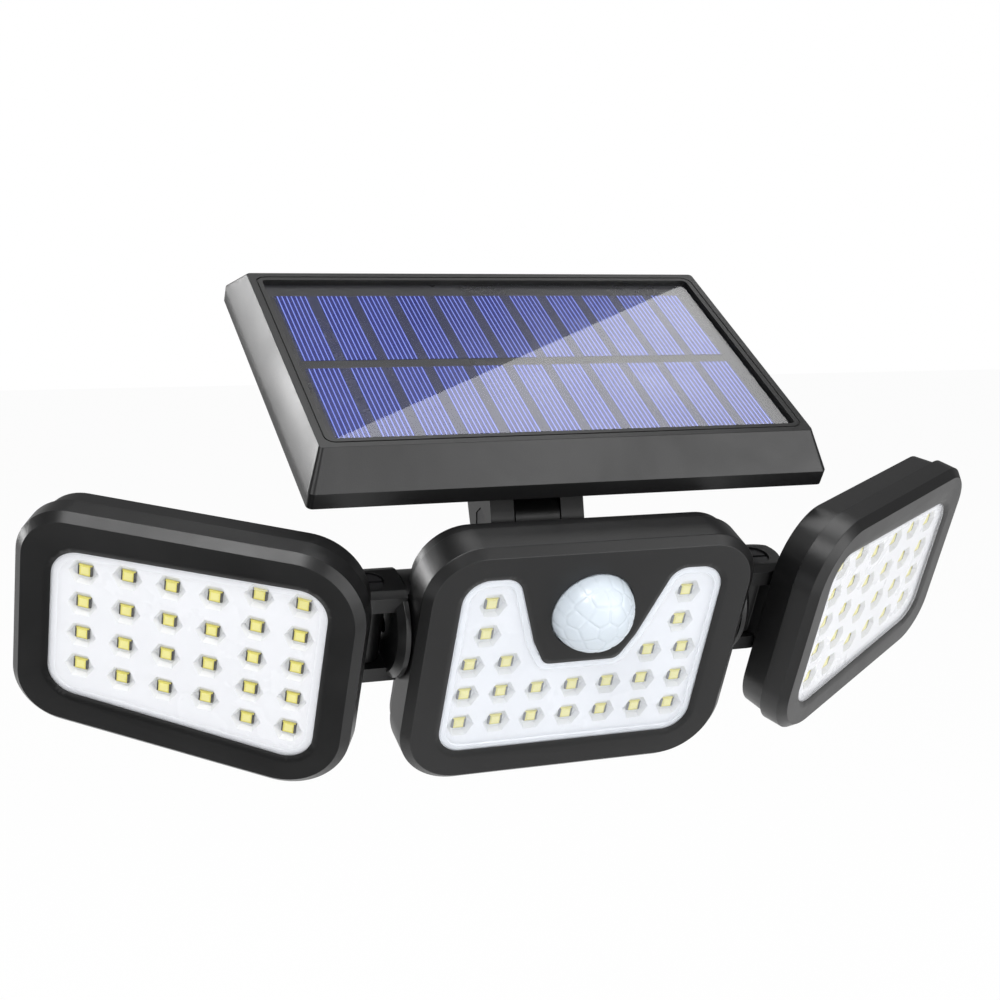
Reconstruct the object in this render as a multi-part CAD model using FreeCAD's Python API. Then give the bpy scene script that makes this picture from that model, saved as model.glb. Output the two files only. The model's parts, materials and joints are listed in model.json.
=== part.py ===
"""Solar security light: a wall bracket, a tilting solar panel and three LED heads.

Millimetres, +Z up.  The origin is the centre of the wall plate's back face: the
wall is the plane Y = 0 and the light stands out from it towards -Y.  Each head is
drawn in its own frame (X across, Y back towards the wall, Z up the face) whose
origin is an LED, and is then turned and moved to its place.
"""
import FreeCAD, Part
import math
import os

V = FreeCAD.Vector

# ---- layout ---------------------------------------------------------------
HEAD_PITCH = 24.8          # every lamp face looks this far below the horizon, degrees
FOLD_REST = 30.0           # each side head is folded back from the middle one, degrees
PANEL_TILT = 31.1          # slope of the solar panel, degrees from level
LED_FROM_WALL = 80.0       # middle LED of the lowest centre row, out from the wall
LED_DROP = 0.0             # the same LED, below the wall plate's centre
PANEL_EDGE_Y = -8.1        # lower front edge of the panel's top face, from that LED
PANEL_EDGE_Z = 69.4
RUN_GAP = 0.3              # between bodies that move past each other
FIT_GAP = 0.2              # between a piece and the pocket that holds it
PIN_GAP = 0.08             # radial clearance of a turning pin

# ---- LEDs, boards and optics ------------------------------------------------
LED_W = 3.5
LED_H = 2.8
LED_T = 0.7
BOARD_T = 1.6
REFLECTOR_T = 1.4          # cup plate, standing on the board
LENS_T = 0.8
LIP_T = 0.7                # bezel lip in front of the lens
LIP_RUN = 1.8              # width of the slope round the window
SEAT_W = 1.4               # how far the lens runs under the lip
CUP_MOUTH = 7.2            # width of one cup at the front of the cup plate
CUP_FLOOR = 5.6            # width of its floor, round the LED

# ---- shells -------------------------------------------------------------------
WALL = 2.0
BEVEL = 2.0                # bevel round the front of each bezel
GASKET_W = 1.2
GASKET_T = 0.8

# ---- centre head ----------------------------------------------------------------
C_HALF_W = 43.6
C_BOTTOM = -16.6
C_TOP = 51.1
C_R_LOW = 16.0
C_R_TOP = 14.0
C_SEAM = 8.0               # depth of the seam between bezel and rear housing
C_BACK = 22.0              # depth of the rear housing's back face
C_BACK_INSET = 6.0         # how far the back face is drawn in
C_BACK_TOP = 40.3          # top of the back face
C_WIN_HALF = 34.0
C_WIN_LOW = -7.2
C_WIN_TOP = 42.7
C_WIN_R = 6.5
BAY_LOW = 17.0             # black sensor bay that drops into the window
BAY_HALF_LOW = 13.0
BAY_MID = 24.0
BAY_HALF_MID = 14.5
BAY_HALF_TOP = 19.0
C_COL_PITCH = 9.5
C_ROW_PITCH = 8.75
C_ROWS = ((-3, -2, -1, 0, 1, 2, 3), (-3, -2, -1, 0, 1, 2, 3), (-3, -2, 2, 3), (-2.7, 2.7), (-2.7, 2.7))
DOME_Z = 32.3
DOME_R = 10.5              # radius of the sensor dome's ball
DOME_SUNK = 1.0            # how far the ball's centre lies behind the bezel's face
DOME_WALL = 1.0
DOME_FLANGE = 1.6
DOME_STEP = 1.4            # plastic in front of the flange
PYRO_R = 4.6
PYRO_L = 4.2
C_SCREW_X = 38.4
C_SCREW_Z = (3.0, 37.6)
CELL_R = 7.1
CELL_L = 50.5
CELL_Y = 11.6
CELL_Z = 4.0
HUMP_HALF = 24.0           # low rounded hump on top of the rear housing
HUMP_H = 1.7
BUTTON_R = 4.0
BUTTON_X = 24.0
BUTTON_Z = 32.0

# ---- side heads -------------------------------------------------------------------
S_X = 70.9                 # inner LED column from the middle of the light
S_Y = 2.2                  # the same, behind the centre LEDs
S_Z = 18.3                 # middle of the head
S_LED_UP = 1.2             # the LEDs' middle, above the head's middle
S_COL_PITCH = 10.23
S_ROWS = ((5, 8.74), (5, 8.74), (4, 9.51), (4, 9.51), (4, 9.51), (4, 8.74))
S_OUT = 67.7               # outline, outward from the inner LED column
S_IN = 14.9                # outline, inward
S_HALF_OUT = 28.6          # half height at the outer end
S_HALF_IN = 33.2           # half height at the inner end
S_R_OUT = 13.0
S_R_IN = 17.0
S_SEAM = 5.0
S_BACK = 11.8              # depth of the rear shell's back face
S_WIN_OUT = 58.6
S_WIN_IN = 6.2
S_WIN_HALF_OUT = 19.3
S_WIN_HALF_IN = 23.8
S_WIN_R = 7.0
S_BACK_INSET = 0.8         # how far the back face is drawn in from the seam
S_SCREW_X = (-44.0, -6.0)  # along the head
S_SCREW_OUT = 2.9          # from the lens's edge out to each screw

# ---- side joints ----------------------------------------------------------------------
SWIVEL_Y = 13.0
SWIVEL_Z = 22.0
SWIVEL_R = 12.9
SWIVEL_BEVEL = 1.6
SWIVEL_T = 2.8
SPIGOT_R = 3.8
SPIGOT_BORE = 2.0
NUT_R = 5.6
NUT_T = 2.2
PIN_X = 52.0
PIN_Y = 13.0
PIN_R = 2.0
EAR_R = 6.6
EAR_T = 5.0
EAR_SPAN = 26.0            # over both ears
BARREL_R = 4.6
EAR_TRIM_R = 13.6          # the ears are rounded to this about the swivel axis
PIN_HEAD_R = 3.4
PIN_HEAD_T = 1.6

# ---- solar panel ---------------------------------------------------------------------------
P_HALF_W = 65.1            # top face
P_LEN = 77.0
P_SIDE_OUT = 3.2           # how far the skirt stands out beyond the top face
P_FRONT_OUT = 7.1
P_REAR_OUT = 7.6
P_BEVEL_D = 8.0            # depth of the sloping wall
P_DEPTH = 12.2
P_RIM = 3.6                # rim round the laminate
P_RIM_D = 1.0              # laminate's face below the rim
LAM_T = 2.6
P_WALL = 1.8
P_BACK_T = 2.0
P_CORNER = 1.5
P_SCREW_IN = 5.1           # outer screws, in from the top face's sides
P_SCREW_BEYOND = 0.5       # screws, up the slope from the top face's lower and upper edges
P_TAPE_W = 2.0             # foam tape under the laminate's edge
P_TAPE_T = 1.2
P_BOARD_HALF = 11.0        # charge board
P_BOARD_LEN = 12.0
P_BOARD_T = 1.2
P_BOARD_GAP = 0.4          # from the tape

# ---- panel hinge and wall bracket ----------------------------------------------------------
HINGE_Y = 25.0             # panel hinge, from the middle LED
HINGE_Z = 46.0
TILT_Y = 31.0              # lamp hinge, in the centre head's own frame
TILT_Z = 12.0
KNUCKLE_R = 7.5
EYE_HALF = 6.2             # half width of the bracket's two eyes
FORK_T = 6.5
BOLT_R = 1.5
BOLT_HEAD_R = 2.8
BOLT_HEAD_T = 1.8
HEX_AF = 5.5
HEX_T = 2.4
FORK_BASE_HALF = 17.0
FORK_BASE_LEN = 34.0
FORK_BASE_T = 3.0
PLATE_W = 30.0
PLATE_H = 52.0
PLATE_T = 4.0
PLATE_R = 6.0
WALL_HOLE_X = 9.5          # four wall holes, at plus and minus this
WALL_HOLE_Z = 19.0
WALL_HOLE_R = 2.0
WALL_HEAD_R = 3.4
ARM_FOOT_W = 24.0
ARM_FOOT_H = 24.0
ARM_FOOT_T = 4.0
ARM_SCREW_X = 8.5
ARM_SCREW_Z = 8.5
ARM_ROOT_Z = 4.0           # the arm's two links meet the foot this far above and below its middle
ARM_ROOT_R = 7.0
ARM_POCKET_R = 3.4         # rounded pocket in each side of the arm
ARM_POCKET_D = 3.0

# ---- screws ---------------------------------------------------------------------------------
SCREW_R = 1.25
SCREW_HEAD_R = 2.3
SCREW_HEAD_T = 1.5
SCREW_HOLE_R = 1.35
WELL_R = 2.7
C_SCREW_L = 6.5
P_SCREW_L = 4.6
ARM_SCREW_L = 5.4
FAR = 150.0                # past everything, for cuts that take one side away

FRONT = -(REFLECTOR_T - LED_T + LENS_T + LIP_T)       # bezel face, ahead of the LEDs' tops
LENS_FRONT = FRONT + LIP_T
CUP_FRONT = LENS_FRONT + LENS_T
BOARD_FRONT = LED_T
BOARD_BACK = BOARD_FRONT + BOARD_T


# ---- plane figures and solids ---------------------------------------------------
def ring(corners, depth=0.0):
    """Closed wire in a plane of constant Y through (x, z, radius) corners."""
    edges = []
    ends = []
    count = len(corners)
    for i, (x, z, radius) in enumerate(corners):
        here = V(x, depth, z)
        before = V(corners[i - 1][0], depth, corners[i - 1][1]) - here
        after = V(corners[(i + 1) % count][0], depth, corners[(i + 1) % count][1]) - here
        half = before.getAngle(after) / 2
        before.normalize()
        after.normalize()
        reach = radius / math.tan(half)
        middle = before + after
        middle.normalize()
        crown = here + middle * (radius / math.sin(half) - radius)
        ends.append((here + before * reach, crown, here + after * reach, radius))
    for i, (start, crown, end, radius) in enumerate(ends):
        if radius > 0:
            edges.append(Part.Arc(start, crown, end).toShape())
        onward = ends[(i + 1) % count][0]
        if end.distanceToPoint(onward) > 1e-6:
            edges.append(Part.LineSegment(end, onward).toShape())
    return Part.Wire(edges)


def grown(wire, by):
    """The same outline, moved outwards (or inwards if negative) by a distance."""
    return wire.makeOffset2D(by, 2, False, False) if abs(by) > 1e-9 else wire.copy()


def at_depth(wire, depth):
    moved = wire.copy()
    moved.translate(V(0, depth - wire.BoundBox.Center.y, 0))
    return moved


def slab(wire, low, high):
    """Straight solid between two depths."""
    return Part.Face(at_depth(wire, low)).extrude(V(0, high - low, 0))


def drafted(wire_low, low, wire_high, high):
    """Solid whose outline changes evenly from one depth to another."""
    return Part.makeLoft([at_depth(wire_low, low), at_depth(wire_high, high)], True, True)


def box(x, y, z):
    """Box from (low, high) pairs."""
    return Part.makeBox(x[1] - x[0], y[1] - y[0], z[1] - z[0], V(x[0], y[0], z[0]))


def rod_x(radius, x, y, z):
    return Part.makeCylinder(radius, x[1] - x[0], V(x[0], y, z), V(1, 0, 0))


def rod_y(radius, x, y, z):
    return Part.makeCylinder(radius, y[1] - y[0], V(x, y[0], z), V(0, 1, 0))


def rod_z(radius, x, y, z):
    return Part.makeCylinder(radius, z[1] - z[0], V(x, y, z[0]), V(0, 0, 1))


def joined(first, *others):
    solid = first
    for other in others:
        solid = solid.fuse(other)
    return solid.removeSplitter()


def cut(solid, *tools):
    return solid.cut(list(tools)) if tools else solid


def hexagon_x(across, x, y, z):
    """Hexagonal bar along X with a corner upwards."""
    reach = across / math.sqrt(3)
    points = [V(x[0], y + reach * math.sin(k * math.pi / 3), z + reach * math.cos(k * math.pi / 3)) for k in range(7)]
    return Part.Face(Part.makePolygon(points)).extrude(V(x[1] - x[0], 0, 0))


def screw_y(x, z, under_head, length):
    """Screw driven towards -Y, its head standing on a face at under_head."""
    head = Part.makeCone(SCREW_HEAD_R, SCREW_HEAD_R * 0.72, SCREW_HEAD_T, V(x, under_head, z), V(0, 1, 0))
    shank = rod_y(SCREW_R, x, (under_head - length, under_head), z)
    cross = joined(
        box((x - 1.3, x + 1.3), (under_head + 0.7, under_head + 2), (z - 0.25, z + 0.25)),
        box((x - 0.25, x + 0.25), (under_head + 0.7, under_head + 2), (z - 1.3, z + 1.3)))
    return joined(head, shank).cut(cross)


def hinge_bolt(y, z, half):
    """Bolt along X through a fork, head on the +X side and thread end at the nut."""
    head = rod_x(BOLT_HEAD_R, (half, half + BOLT_HEAD_T), y, z)
    shank = rod_x(BOLT_R, (-half + 0.2, half), y, z)
    socket = hexagon_x(BOLT_HEAD_R, (half + 0.7, half + 3), y, z)
    return joined(head, shank).cut(socket)


def hinge_nut(y, z, half):
    """Nut in the pocket of the fork's -X cheek."""
    return hexagon_x(HEX_AF, (-half + 0.2, -half + 0.2 + HEX_T), y, z).cut(rod_x(BOLT_R + 0.02, (-half - 1, half), y, z))


def nut_pocket(y, z, half):
    return hexagon_x(HEX_AF + 2 * FIT_GAP, (-half - 1, -half + 0.2 + HEX_T), y, z)


# ---- LEDs, boards, cups and lens: the same in all heads ---------------------------------
def led(x, z):
    """One surface-mounted LED, its lit top facing -Y."""
    body = box((x - LED_W / 2, x + LED_W / 2), (0, LED_T), (z - LED_H / 2, z + LED_H / 2))
    dish = box((x - LED_W / 2 + 0.4, x + LED_W / 2 - 0.7), (-1, 0.15), (z - LED_H / 2 + 0.4, z + LED_H / 2 - 0.4))
    return body.cut(dish)


def cup(x, z):
    """Six-sided cup, wide at the front and closing on the LED."""
    mouth = [(x + CUP_MOUTH / 2 * math.cos(k * math.pi / 3), z + CUP_MOUTH / 2 * math.sin(k * math.pi / 3), 0)
             for k in range(6)]
    floor = [(x + CUP_FLOOR / 2 * math.cos(k * math.pi / 3), z + CUP_FLOOR / 2 * math.sin(k * math.pi / 3), 0)
             for k in range(6)]
    return drafted(ring(mouth), CUP_FRONT, ring(floor), BOARD_FRONT)


def optics(window, spots):
    """Lens, cup plate, board and LEDs that fill one window from behind."""
    seat = grown(window, SEAT_W - FIT_GAP)
    lens = slab(seat, LENS_FRONT, CUP_FRONT)
    plate = cut(slab(seat, CUP_FRONT, BOARD_FRONT), *[cup(x, z) for x, z in spots])
    board = slab(seat, BOARD_FRONT, BOARD_BACK)
    return lens, plate, board, Part.makeCompound([led(x, z) for x, z in spots])


def bezel_body(outline, window, seam, wall):
    """Rim with a bevelled front edge, a sloping lip round the window and a hollow back."""
    front = drafted(grown(outline, -BEVEL), FRONT, outline, FRONT + BEVEL)
    body = joined(front, slab(outline, FRONT + BEVEL, seam))
    lip = drafted(grown(window, LIP_RUN), FRONT, window, LENS_FRONT)
    seat = slab(grown(window, SEAT_W), LENS_FRONT, BOARD_BACK + FIT_GAP)
    hollow = slab(grown(outline, -wall), BOARD_BACK + FIT_GAP, seam)
    return cut(body, lip, seat, hollow)


def seal(outline, seam, inset):
    """Cord seal in the rear shell's front edge."""
    outer = slab(grown(outline, -inset), seam, seam + GASKET_T)
    return outer.cut(slab(grown(outline, -inset - GASKET_W), seam, seam + GASKET_T))


# ---- centre head ---------------------------------------------------------------------
C_SHELL_INSET = 1.2        # rear housing, inside the bezel's outline
C_REAR_WALL = 3.2
C_SHOULDER = C_SEAM + 4.0  # depth where the rear housing starts to draw in
BOSS_INNER = C_HALF_W - C_BACK_INSET - 3.0       # inner and outer face of each swivel boss
BOSS_OUTER = C_HALF_W + 0.3


def centre_outline():
    return ring([(-C_HALF_W, C_BOTTOM, C_R_LOW), (C_HALF_W, C_BOTTOM, C_R_LOW),
                 (C_HALF_W, C_TOP, C_R_TOP), (-C_HALF_W, C_TOP, C_R_TOP)])


def centre_back_outline():
    half = C_HALF_W - C_BACK_INSET
    low = C_BOTTOM + C_BACK_INSET
    return ring([(-half, low, C_R_LOW - 3), (half, low, C_R_LOW - 3),
                 (half, C_BACK_TOP, C_R_TOP - 3), (-half, C_BACK_TOP, C_R_TOP - 3)])


def centre_window():
    """Window with the sensor bay let down into its top edge."""
    right = [(C_WIN_HALF, C_WIN_LOW, C_WIN_R), (C_WIN_HALF, C_WIN_TOP, C_WIN_R),
             (BAY_HALF_TOP + 1.5, C_WIN_TOP, 5.0), (BAY_HALF_MID - 0.8, BAY_MID, 4.0), (BAY_HALF_LOW - 3.2, BAY_LOW, 3.0)]
    left = [(-x, z, radius) for x, z, radius in reversed(right)]
    return ring(right + left)


def centre_spots():
    return [(column * C_COL_PITCH, row * C_ROW_PITCH) for row, columns in enumerate(C_ROWS) for column in columns]


def centre_bezel():
    body = bezel_body(centre_outline(), centre_window(), C_SEAM, C_REAR_WALL)
    bosses = [rod_y(WELL_R, side * C_SCREW_X, (BOARD_BACK + FIT_GAP, C_SEAM), z)
              for side in (-1, 1) for z in C_SCREW_Z]
    body = joined(body, *bosses)
    pilots = [rod_y(SCREW_R + 0.02, side * C_SCREW_X, (BOARD_BACK + 1, C_SEAM + 1), z)
              for side in (-1, 1) for z in C_SCREW_Z]
    dome_hole = rod_y(DOME_R + FIT_GAP, 0, (FRONT - 1, C_SEAM), DOME_Z)
    flange_seat = rod_y(DOME_R + DOME_FLANGE + FIT_GAP, 0, (FRONT + DOME_STEP, C_SEAM), DOME_Z)
    return cut(body, dome_hole, flange_seat, *pilots)


def dome_centre():
    return FRONT + DOME_SUNK


def pir_dome():
    """Ball-fronted lens with a round flange behind the bezel, turned about its own axis."""
    middle = dome_centre()
    back = FRONT + DOME_STEP
    inner = DOME_R - DOME_WALL
    corners = [(DOME_R, middle), (DOME_R, back), (DOME_R + DOME_FLANGE, back),
               (DOME_R + DOME_FLANGE, back + 1.0), (inner, back + 1.0), (inner, middle)]
    points = [V(x, y, DOME_Z) for x, y in corners]
    edges = [Part.LineSegment(start, end).toShape() for start, end in zip(points, points[1:])]
    slope = math.sqrt(0.5)
    for radius in (inner, DOME_R):
        crown = V(radius * slope, middle - radius * slope, DOME_Z)
        edges.append(Part.Arc(V(radius, middle, DOME_Z), crown, V(0, middle - radius, DOME_Z)).toShape())
    edges.append(Part.LineSegment(V(0, middle - inner, DOME_Z), V(0, middle - DOME_R, DOME_Z)).toShape())
    profile = Part.Face(Part.Wire(Part.__sortEdges__(edges)))
    return profile.revolve(V(0, 0, DOME_Z), V(0, 1, 0), 360)


SENSE_HALF = 16.0          # sensor board
SENSE_T = 1.2
SENSE_BELOW = 13.0         # below and above the dome's middle
SENSE_ABOVE = 12.0


def sensor_board():
    """Small board across the back of the sensor bay."""
    front = BOARD_BACK + FIT_GAP
    return box((-SENSE_HALF, SENSE_HALF), (front, front + SENSE_T), (DOME_Z - SENSE_BELOW, DOME_Z + SENSE_ABOVE))


def dome_ring():
    """Ring that presses the dome's flange to the bezel."""
    low = FRONT + DOME_STEP + 1.0
    high = BOARD_BACK + FIT_GAP
    radius = DOME_R + DOME_FLANGE
    return rod_y(radius, 0, (low, high), DOME_Z).cut(rod_y(radius - 2.4, 0, (low - 1, high + 1), DOME_Z))


def pyro_sensor():
    """Sensor can standing on the sensor board inside the dome."""
    high = BOARD_BACK + FIT_GAP
    can = rod_y(PYRO_R, 0, (high - PYRO_L, high), DOME_Z)
    window = box((-2, 2), (high - PYRO_L - 1, high - PYRO_L + 0.3), (DOME_Z - 1.5, DOME_Z + 1.5))
    rim = rod_y(PYRO_R + 0.4, 0, (high - 0.6, high), DOME_Z)
    return joined(can, rim).cut(window)


def side_boss(side):
    """Round boss on the housing's side that the swivel plate turns against."""
    boss = rod_x(SWIVEL_R, (BOSS_INNER, BOSS_OUTER), SWIVEL_Y, SWIVEL_Z)
    ahead = box((BOSS_INNER - 1, BOSS_OUTER + 1), (-20, C_SEAM), (SWIVEL_Z - 20, SWIVEL_Z + 20))
    boss = boss.cut(ahead)
    return boss if side > 0 else boss.mirror(V(0, 0, 0), V(1, 0, 0))


def hump():
    """Low rounded hump along the top of the rear housing."""
    ends = []
    for top in (C_TOP - C_SHELL_INSET, C_BACK_TOP + HUMP_H):
        ends.append(ring([(-HUMP_HALF, 30, 1), (HUMP_HALF, 30, 1), (HUMP_HALF - 6, top, 6), (-HUMP_HALF + 6, top, 6)]))
    return drafted(ends[0], C_SHOULDER, ends[1], C_BACK)


def tilt_cheeks():
    """Two cheeks on the housing's back that take the tilt bolt."""
    cheeks = []
    for side in (-1, 1):
        low = EYE_HALF + RUN_GAP
        span = (low, low + FORK_T) if side > 0 else (-low - FORK_T, -low)
        web = box(span, (C_BACK - WALL, TILT_Y), (TILT_Z - KNUCKLE_R, TILT_Z + KNUCKLE_R))
        cheeks.append(web)
        cheeks.append(rod_x(KNUCKLE_R, span, TILT_Y, TILT_Z))
    return cheeks


def centre_rear_housing():
    shell = grown(centre_outline(), -C_SHELL_INSET)
    back = centre_back_outline()
    outer = joined(slab(shell, C_SEAM, C_SHOULDER), drafted(shell, C_SHOULDER, back, C_BACK))
    wells = []
    holes = []
    for side in (-1, 1):
        for z in C_SCREW_Z:
            tube = rod_y(WELL_R + 1.2, side * C_SCREW_X, (C_SEAM, C_BACK), z)
            wells.append(tube.common(outer))
            holes.append(rod_y(WELL_R, side * C_SCREW_X, (C_SEAM + 3, C_BACK + 1), z))
            holes.append(rod_y(SCREW_HOLE_R, side * C_SCREW_X, (C_SEAM - 1, C_BACK), z))
    inner = grown(shell, -WALL)
    hollow = joined(slab(inner, C_SEAM - 1, C_SHOULDER),
                    drafted(inner, C_SHOULDER, grown(back, -WALL), C_BACK - WALL))
    body = joined(outer, hump(), side_boss(1), side_boss(-1))
    spigots = [rod_x(SPIGOT_R + PIN_GAP, (side * 40 - 10, side * 40 + 10), SWIVEL_Y, SWIVEL_Z) for side in (-1, 1)]
    bosses = [side_boss(side).common(outer) for side in (-1, 1)]
    posts = [rod_y(2.2, x, (MAIN_Y + MAIN_T, C_BACK - WALL), z) for x, z in MAIN_POSTS]
    groove = seal(shell, C_SEAM, (WALL - GASKET_W) / 2)
    hole = rod_y(BUTTON_R + FIT_GAP, BUTTON_X, (C_BACK - 5, C_BACK + 2), BUTTON_Z)
    gland = rod_y(GLAND_R, GLAND_X, (C_BACK - 5, C_BACK + 2), GLAND_Z)
    body = joined(cut(body, hollow), *(bosses + wells + posts + tilt_cheeks()))
    bolt = rod_x(BOLT_R + PIN_GAP, (-20, 20), TILT_Y, TILT_Z)
    edge = EYE_HALF + RUN_GAP + FORK_T
    return cut(body, groove, hole, gland, bolt, nut_pocket(TILT_Y, TILT_Z, edge), *(spigots + holes))


MAIN_Y = 14.6              # front of the main board
MAIN_T = 1.4
MAIN_SPAN_X = (-30.0, 29.0)
MAIN_SPAN_Z = (15.5, 39.5)
MAIN_POSTS = ((-26.0, 18.5), (26.0, 18.5), (-26.0, 37.0), (16.0, 37.0))
COIL = (-18.0, 27.0, 4.2, 4.0)      # X, Z, radius and height
CAN = (8.0, 30.0, 3.0, 5.5)
CHIP_SPAN_X = (-8.0, -2.0)
CHIP_SPAN_Z = (22.0, 30.0)
CHIP_H = 1.6
CONTACT_T = 1.0            # battery contacts
CONTACT_HALF_Y = 4.0
CONTACT_HALF_Z = 3.5
GLAND_R = 2.6
GLAND_X = -22.0
GLAND_Z = 30.0


def main_board():
    return box(MAIN_SPAN_X, (MAIN_Y, MAIN_Y + MAIN_T), MAIN_SPAN_Z)


def board_parts():
    """Driver coil, capacitor and chip standing on the main board's front."""
    coil, can = [rod_y(radius, x, (MAIN_Y - height, MAIN_Y), z) for x, z, radius, height in (COIL, CAN)]
    chip = box(CHIP_SPAN_X, (MAIN_Y - CHIP_H, MAIN_Y), CHIP_SPAN_Z)
    return Part.makeCompound([coil, can, chip])


def button_switch():
    high = C_BACK - WALL - 0.8
    body = box((BUTTON_X - 3, BUTTON_X + 3), (MAIN_Y + MAIN_T, high - 1.4), (BUTTON_Z - 3, BUTTON_Z + 3))
    return joined(body, rod_y(1.6, BUTTON_X, (MAIN_Y + MAIN_T, high - 1.1), BUTTON_Z))


def mode_button():
    """Round push cap with a flange behind the housing's wall."""
    inside = C_BACK - WALL - 0.3
    cap = rod_y(BUTTON_R, BUTTON_X, (inside - 0.01, C_BACK + 2.2), BUTTON_Z)
    flange = rod_y(BUTTON_R + 1.0, BUTTON_X, (inside - 0.5, inside), BUTTON_Z)
    return joined(cap.makeFillet(0.8, [edge for edge in cap.Edges if edge.BoundBox.YMin > C_BACK]), flange)


def cable_gland(radius, length):
    """Rubber bush for the lead between panel and lamp, drawn along +Y from its flange."""
    body = joined(rod_y(radius, 0, (-length, 0), 0), rod_y(radius + 1.4, 0, (0, 1.4), 0))
    return body.cut(rod_y(radius * 0.45, 0, (-length - 1, 3), 0))


def head_gland():
    gland = cable_gland(GLAND_R - 0.02, 4.0)
    gland.translate(V(GLAND_X, C_BACK, GLAND_Z))
    return gland


def battery_cell():
    cell = rod_x(CELL_R, (-CELL_L / 2, CELL_L / 2 - 1.0), CELL_Y, CELL_Z)
    return joined(cell, rod_x(2.6, (CELL_L / 2 - 1.0, CELL_L / 2), CELL_Y, CELL_Z))


def battery_holder():
    """Open cradle on the housing's back wall."""
    end = CELL_L / 2 + CONTACT_T
    block = box((-end - 1.4, end + 1.4), (CELL_Y - 1, C_BACK - WALL), (CELL_Z - CELL_R - 1.4, CELL_Z + CELL_R + 1.4))
    room = box((-end, end), (CELL_Y - 3, CELL_Y), (CELL_Z - CELL_R - FIT_GAP, CELL_Z + CELL_R + FIT_GAP))
    trough = rod_x(CELL_R + FIT_GAP, (-end, end), CELL_Y, CELL_Z)
    return cut(block, room, trough)


def battery_contacts():
    end = CELL_L / 2 + CONTACT_T
    plates = []
    for low, high in ((-end, -CELL_L / 2), (CELL_L / 2, end)):
        plates.append(box((low, high), (CELL_Y - CONTACT_HALF_Y, CELL_Y + CONTACT_HALF_Y),
                          (CELL_Z - CONTACT_HALF_Z, CELL_Z + CONTACT_HALF_Z)))
    return Part.makeCompound(plates)


def centre_screws():
    return Part.makeCompound([screw_y(side * C_SCREW_X, z, C_SEAM + 3, C_SCREW_L) for side in (-1, 1) for z in C_SCREW_Z])


def centre_parts():
    lens, cups, board, leds = optics(centre_window(), centre_spots())
    edge = EYE_HALF + RUN_GAP + FORK_T
    return {
        "centre_bezel": centre_bezel(),
        "centre_lens": lens,
        "centre_reflector": cups,
        "centre_led_board": board,
        "centre_leds": leds,
        "centre_seal": seal(grown(centre_outline(), -C_SHELL_INSET), C_SEAM, (WALL - GASKET_W) / 2),
        "pir_dome": pir_dome(),
        "pir_dome_ring": dome_ring(),
        "pir_sensor": pyro_sensor(),
        "sensor_board": sensor_board(),
        "centre_rear_housing": centre_rear_housing(),
        "main_board": main_board(),
        "board_components": board_parts(),
        "button_switch": button_switch(),
        "mode_button": mode_button(),
        "head_cable_gland": head_gland(),
        "battery_cell": battery_cell(),
        "battery_holder": battery_holder(),
        "battery_contacts": battery_contacts(),
        "centre_screws": centre_screws(),
        "tilt_bolt": hinge_bolt(TILT_Y, TILT_Z, edge),
        "tilt_nut": hinge_nut(TILT_Y, TILT_Z, edge),
    }


# ---- side heads: drawn as the left one, outward is -X ------------------------------------
S_REAR_WALL = 3.0
S_SHELL_INSET = 1.0
S_HEAD_SEAT = S_BACK - SCREW_HEAD_T - 0.3        # depth under the screw heads


def side_outline():
    return ring([(-S_OUT, -S_HALF_OUT, S_R_OUT), (S_IN, -S_HALF_IN, S_R_IN),
                 (S_IN, S_HALF_IN, S_R_IN), (-S_OUT, S_HALF_OUT, S_R_OUT)])


def side_window():
    return ring([(-S_WIN_OUT, -S_WIN_HALF_OUT, S_WIN_R), (S_WIN_IN, -S_WIN_HALF_IN, S_WIN_R),
                 (S_WIN_IN, S_WIN_HALF_IN, S_WIN_R), (-S_WIN_OUT, S_WIN_HALF_OUT, S_WIN_R)])


def side_spots():
    spots = []
    for column, (count, pitch) in enumerate(S_ROWS):
        for row in range(count):
            spots.append((-column * S_COL_PITCH, (row - (count - 1) / 2) * pitch + S_LED_UP))
    return spots


def share(x, out_x, out_value, in_x, in_value):
    """Value on the straight line between the outer and the inner end."""
    return out_value + (in_value - out_value) * (x - out_x) / (in_x - out_x)


def side_screw_spots():
    """Screws in the rim, above and below the window."""
    spots = []
    for x in S_SCREW_X:
        window = share(x, -S_WIN_OUT, S_WIN_HALF_OUT, S_WIN_IN, S_WIN_HALF_IN)
        z = window + SEAT_W + S_SCREW_OUT
        spots.extend([(x, z), (x, -z)])
    return spots


def side_bezel():
    body = bezel_body(side_outline(), side_window(), S_SEAM, S_REAR_WALL)
    bosses = [rod_y(2.4, x, (BOARD_BACK + FIT_GAP, S_SEAM), z) for x, z in side_screw_spots()]
    pilots = [rod_y(SCREW_R + 0.02, x, (BOARD_BACK - 1.2, S_SEAM + 1), z) for x, z in side_screw_spots()]
    return cut(joined(body, *bosses), *pilots)


def fold_axis():
    """Fold pin in the side head's own frame, from its place in the centre head's frame."""
    turn = math.radians(FOLD_REST)
    across = S_X - PIN_X
    back = PIN_Y - S_Y
    return across * math.cos(turn) - back * math.sin(turn), across * math.sin(turn) + back * math.cos(turn)


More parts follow.
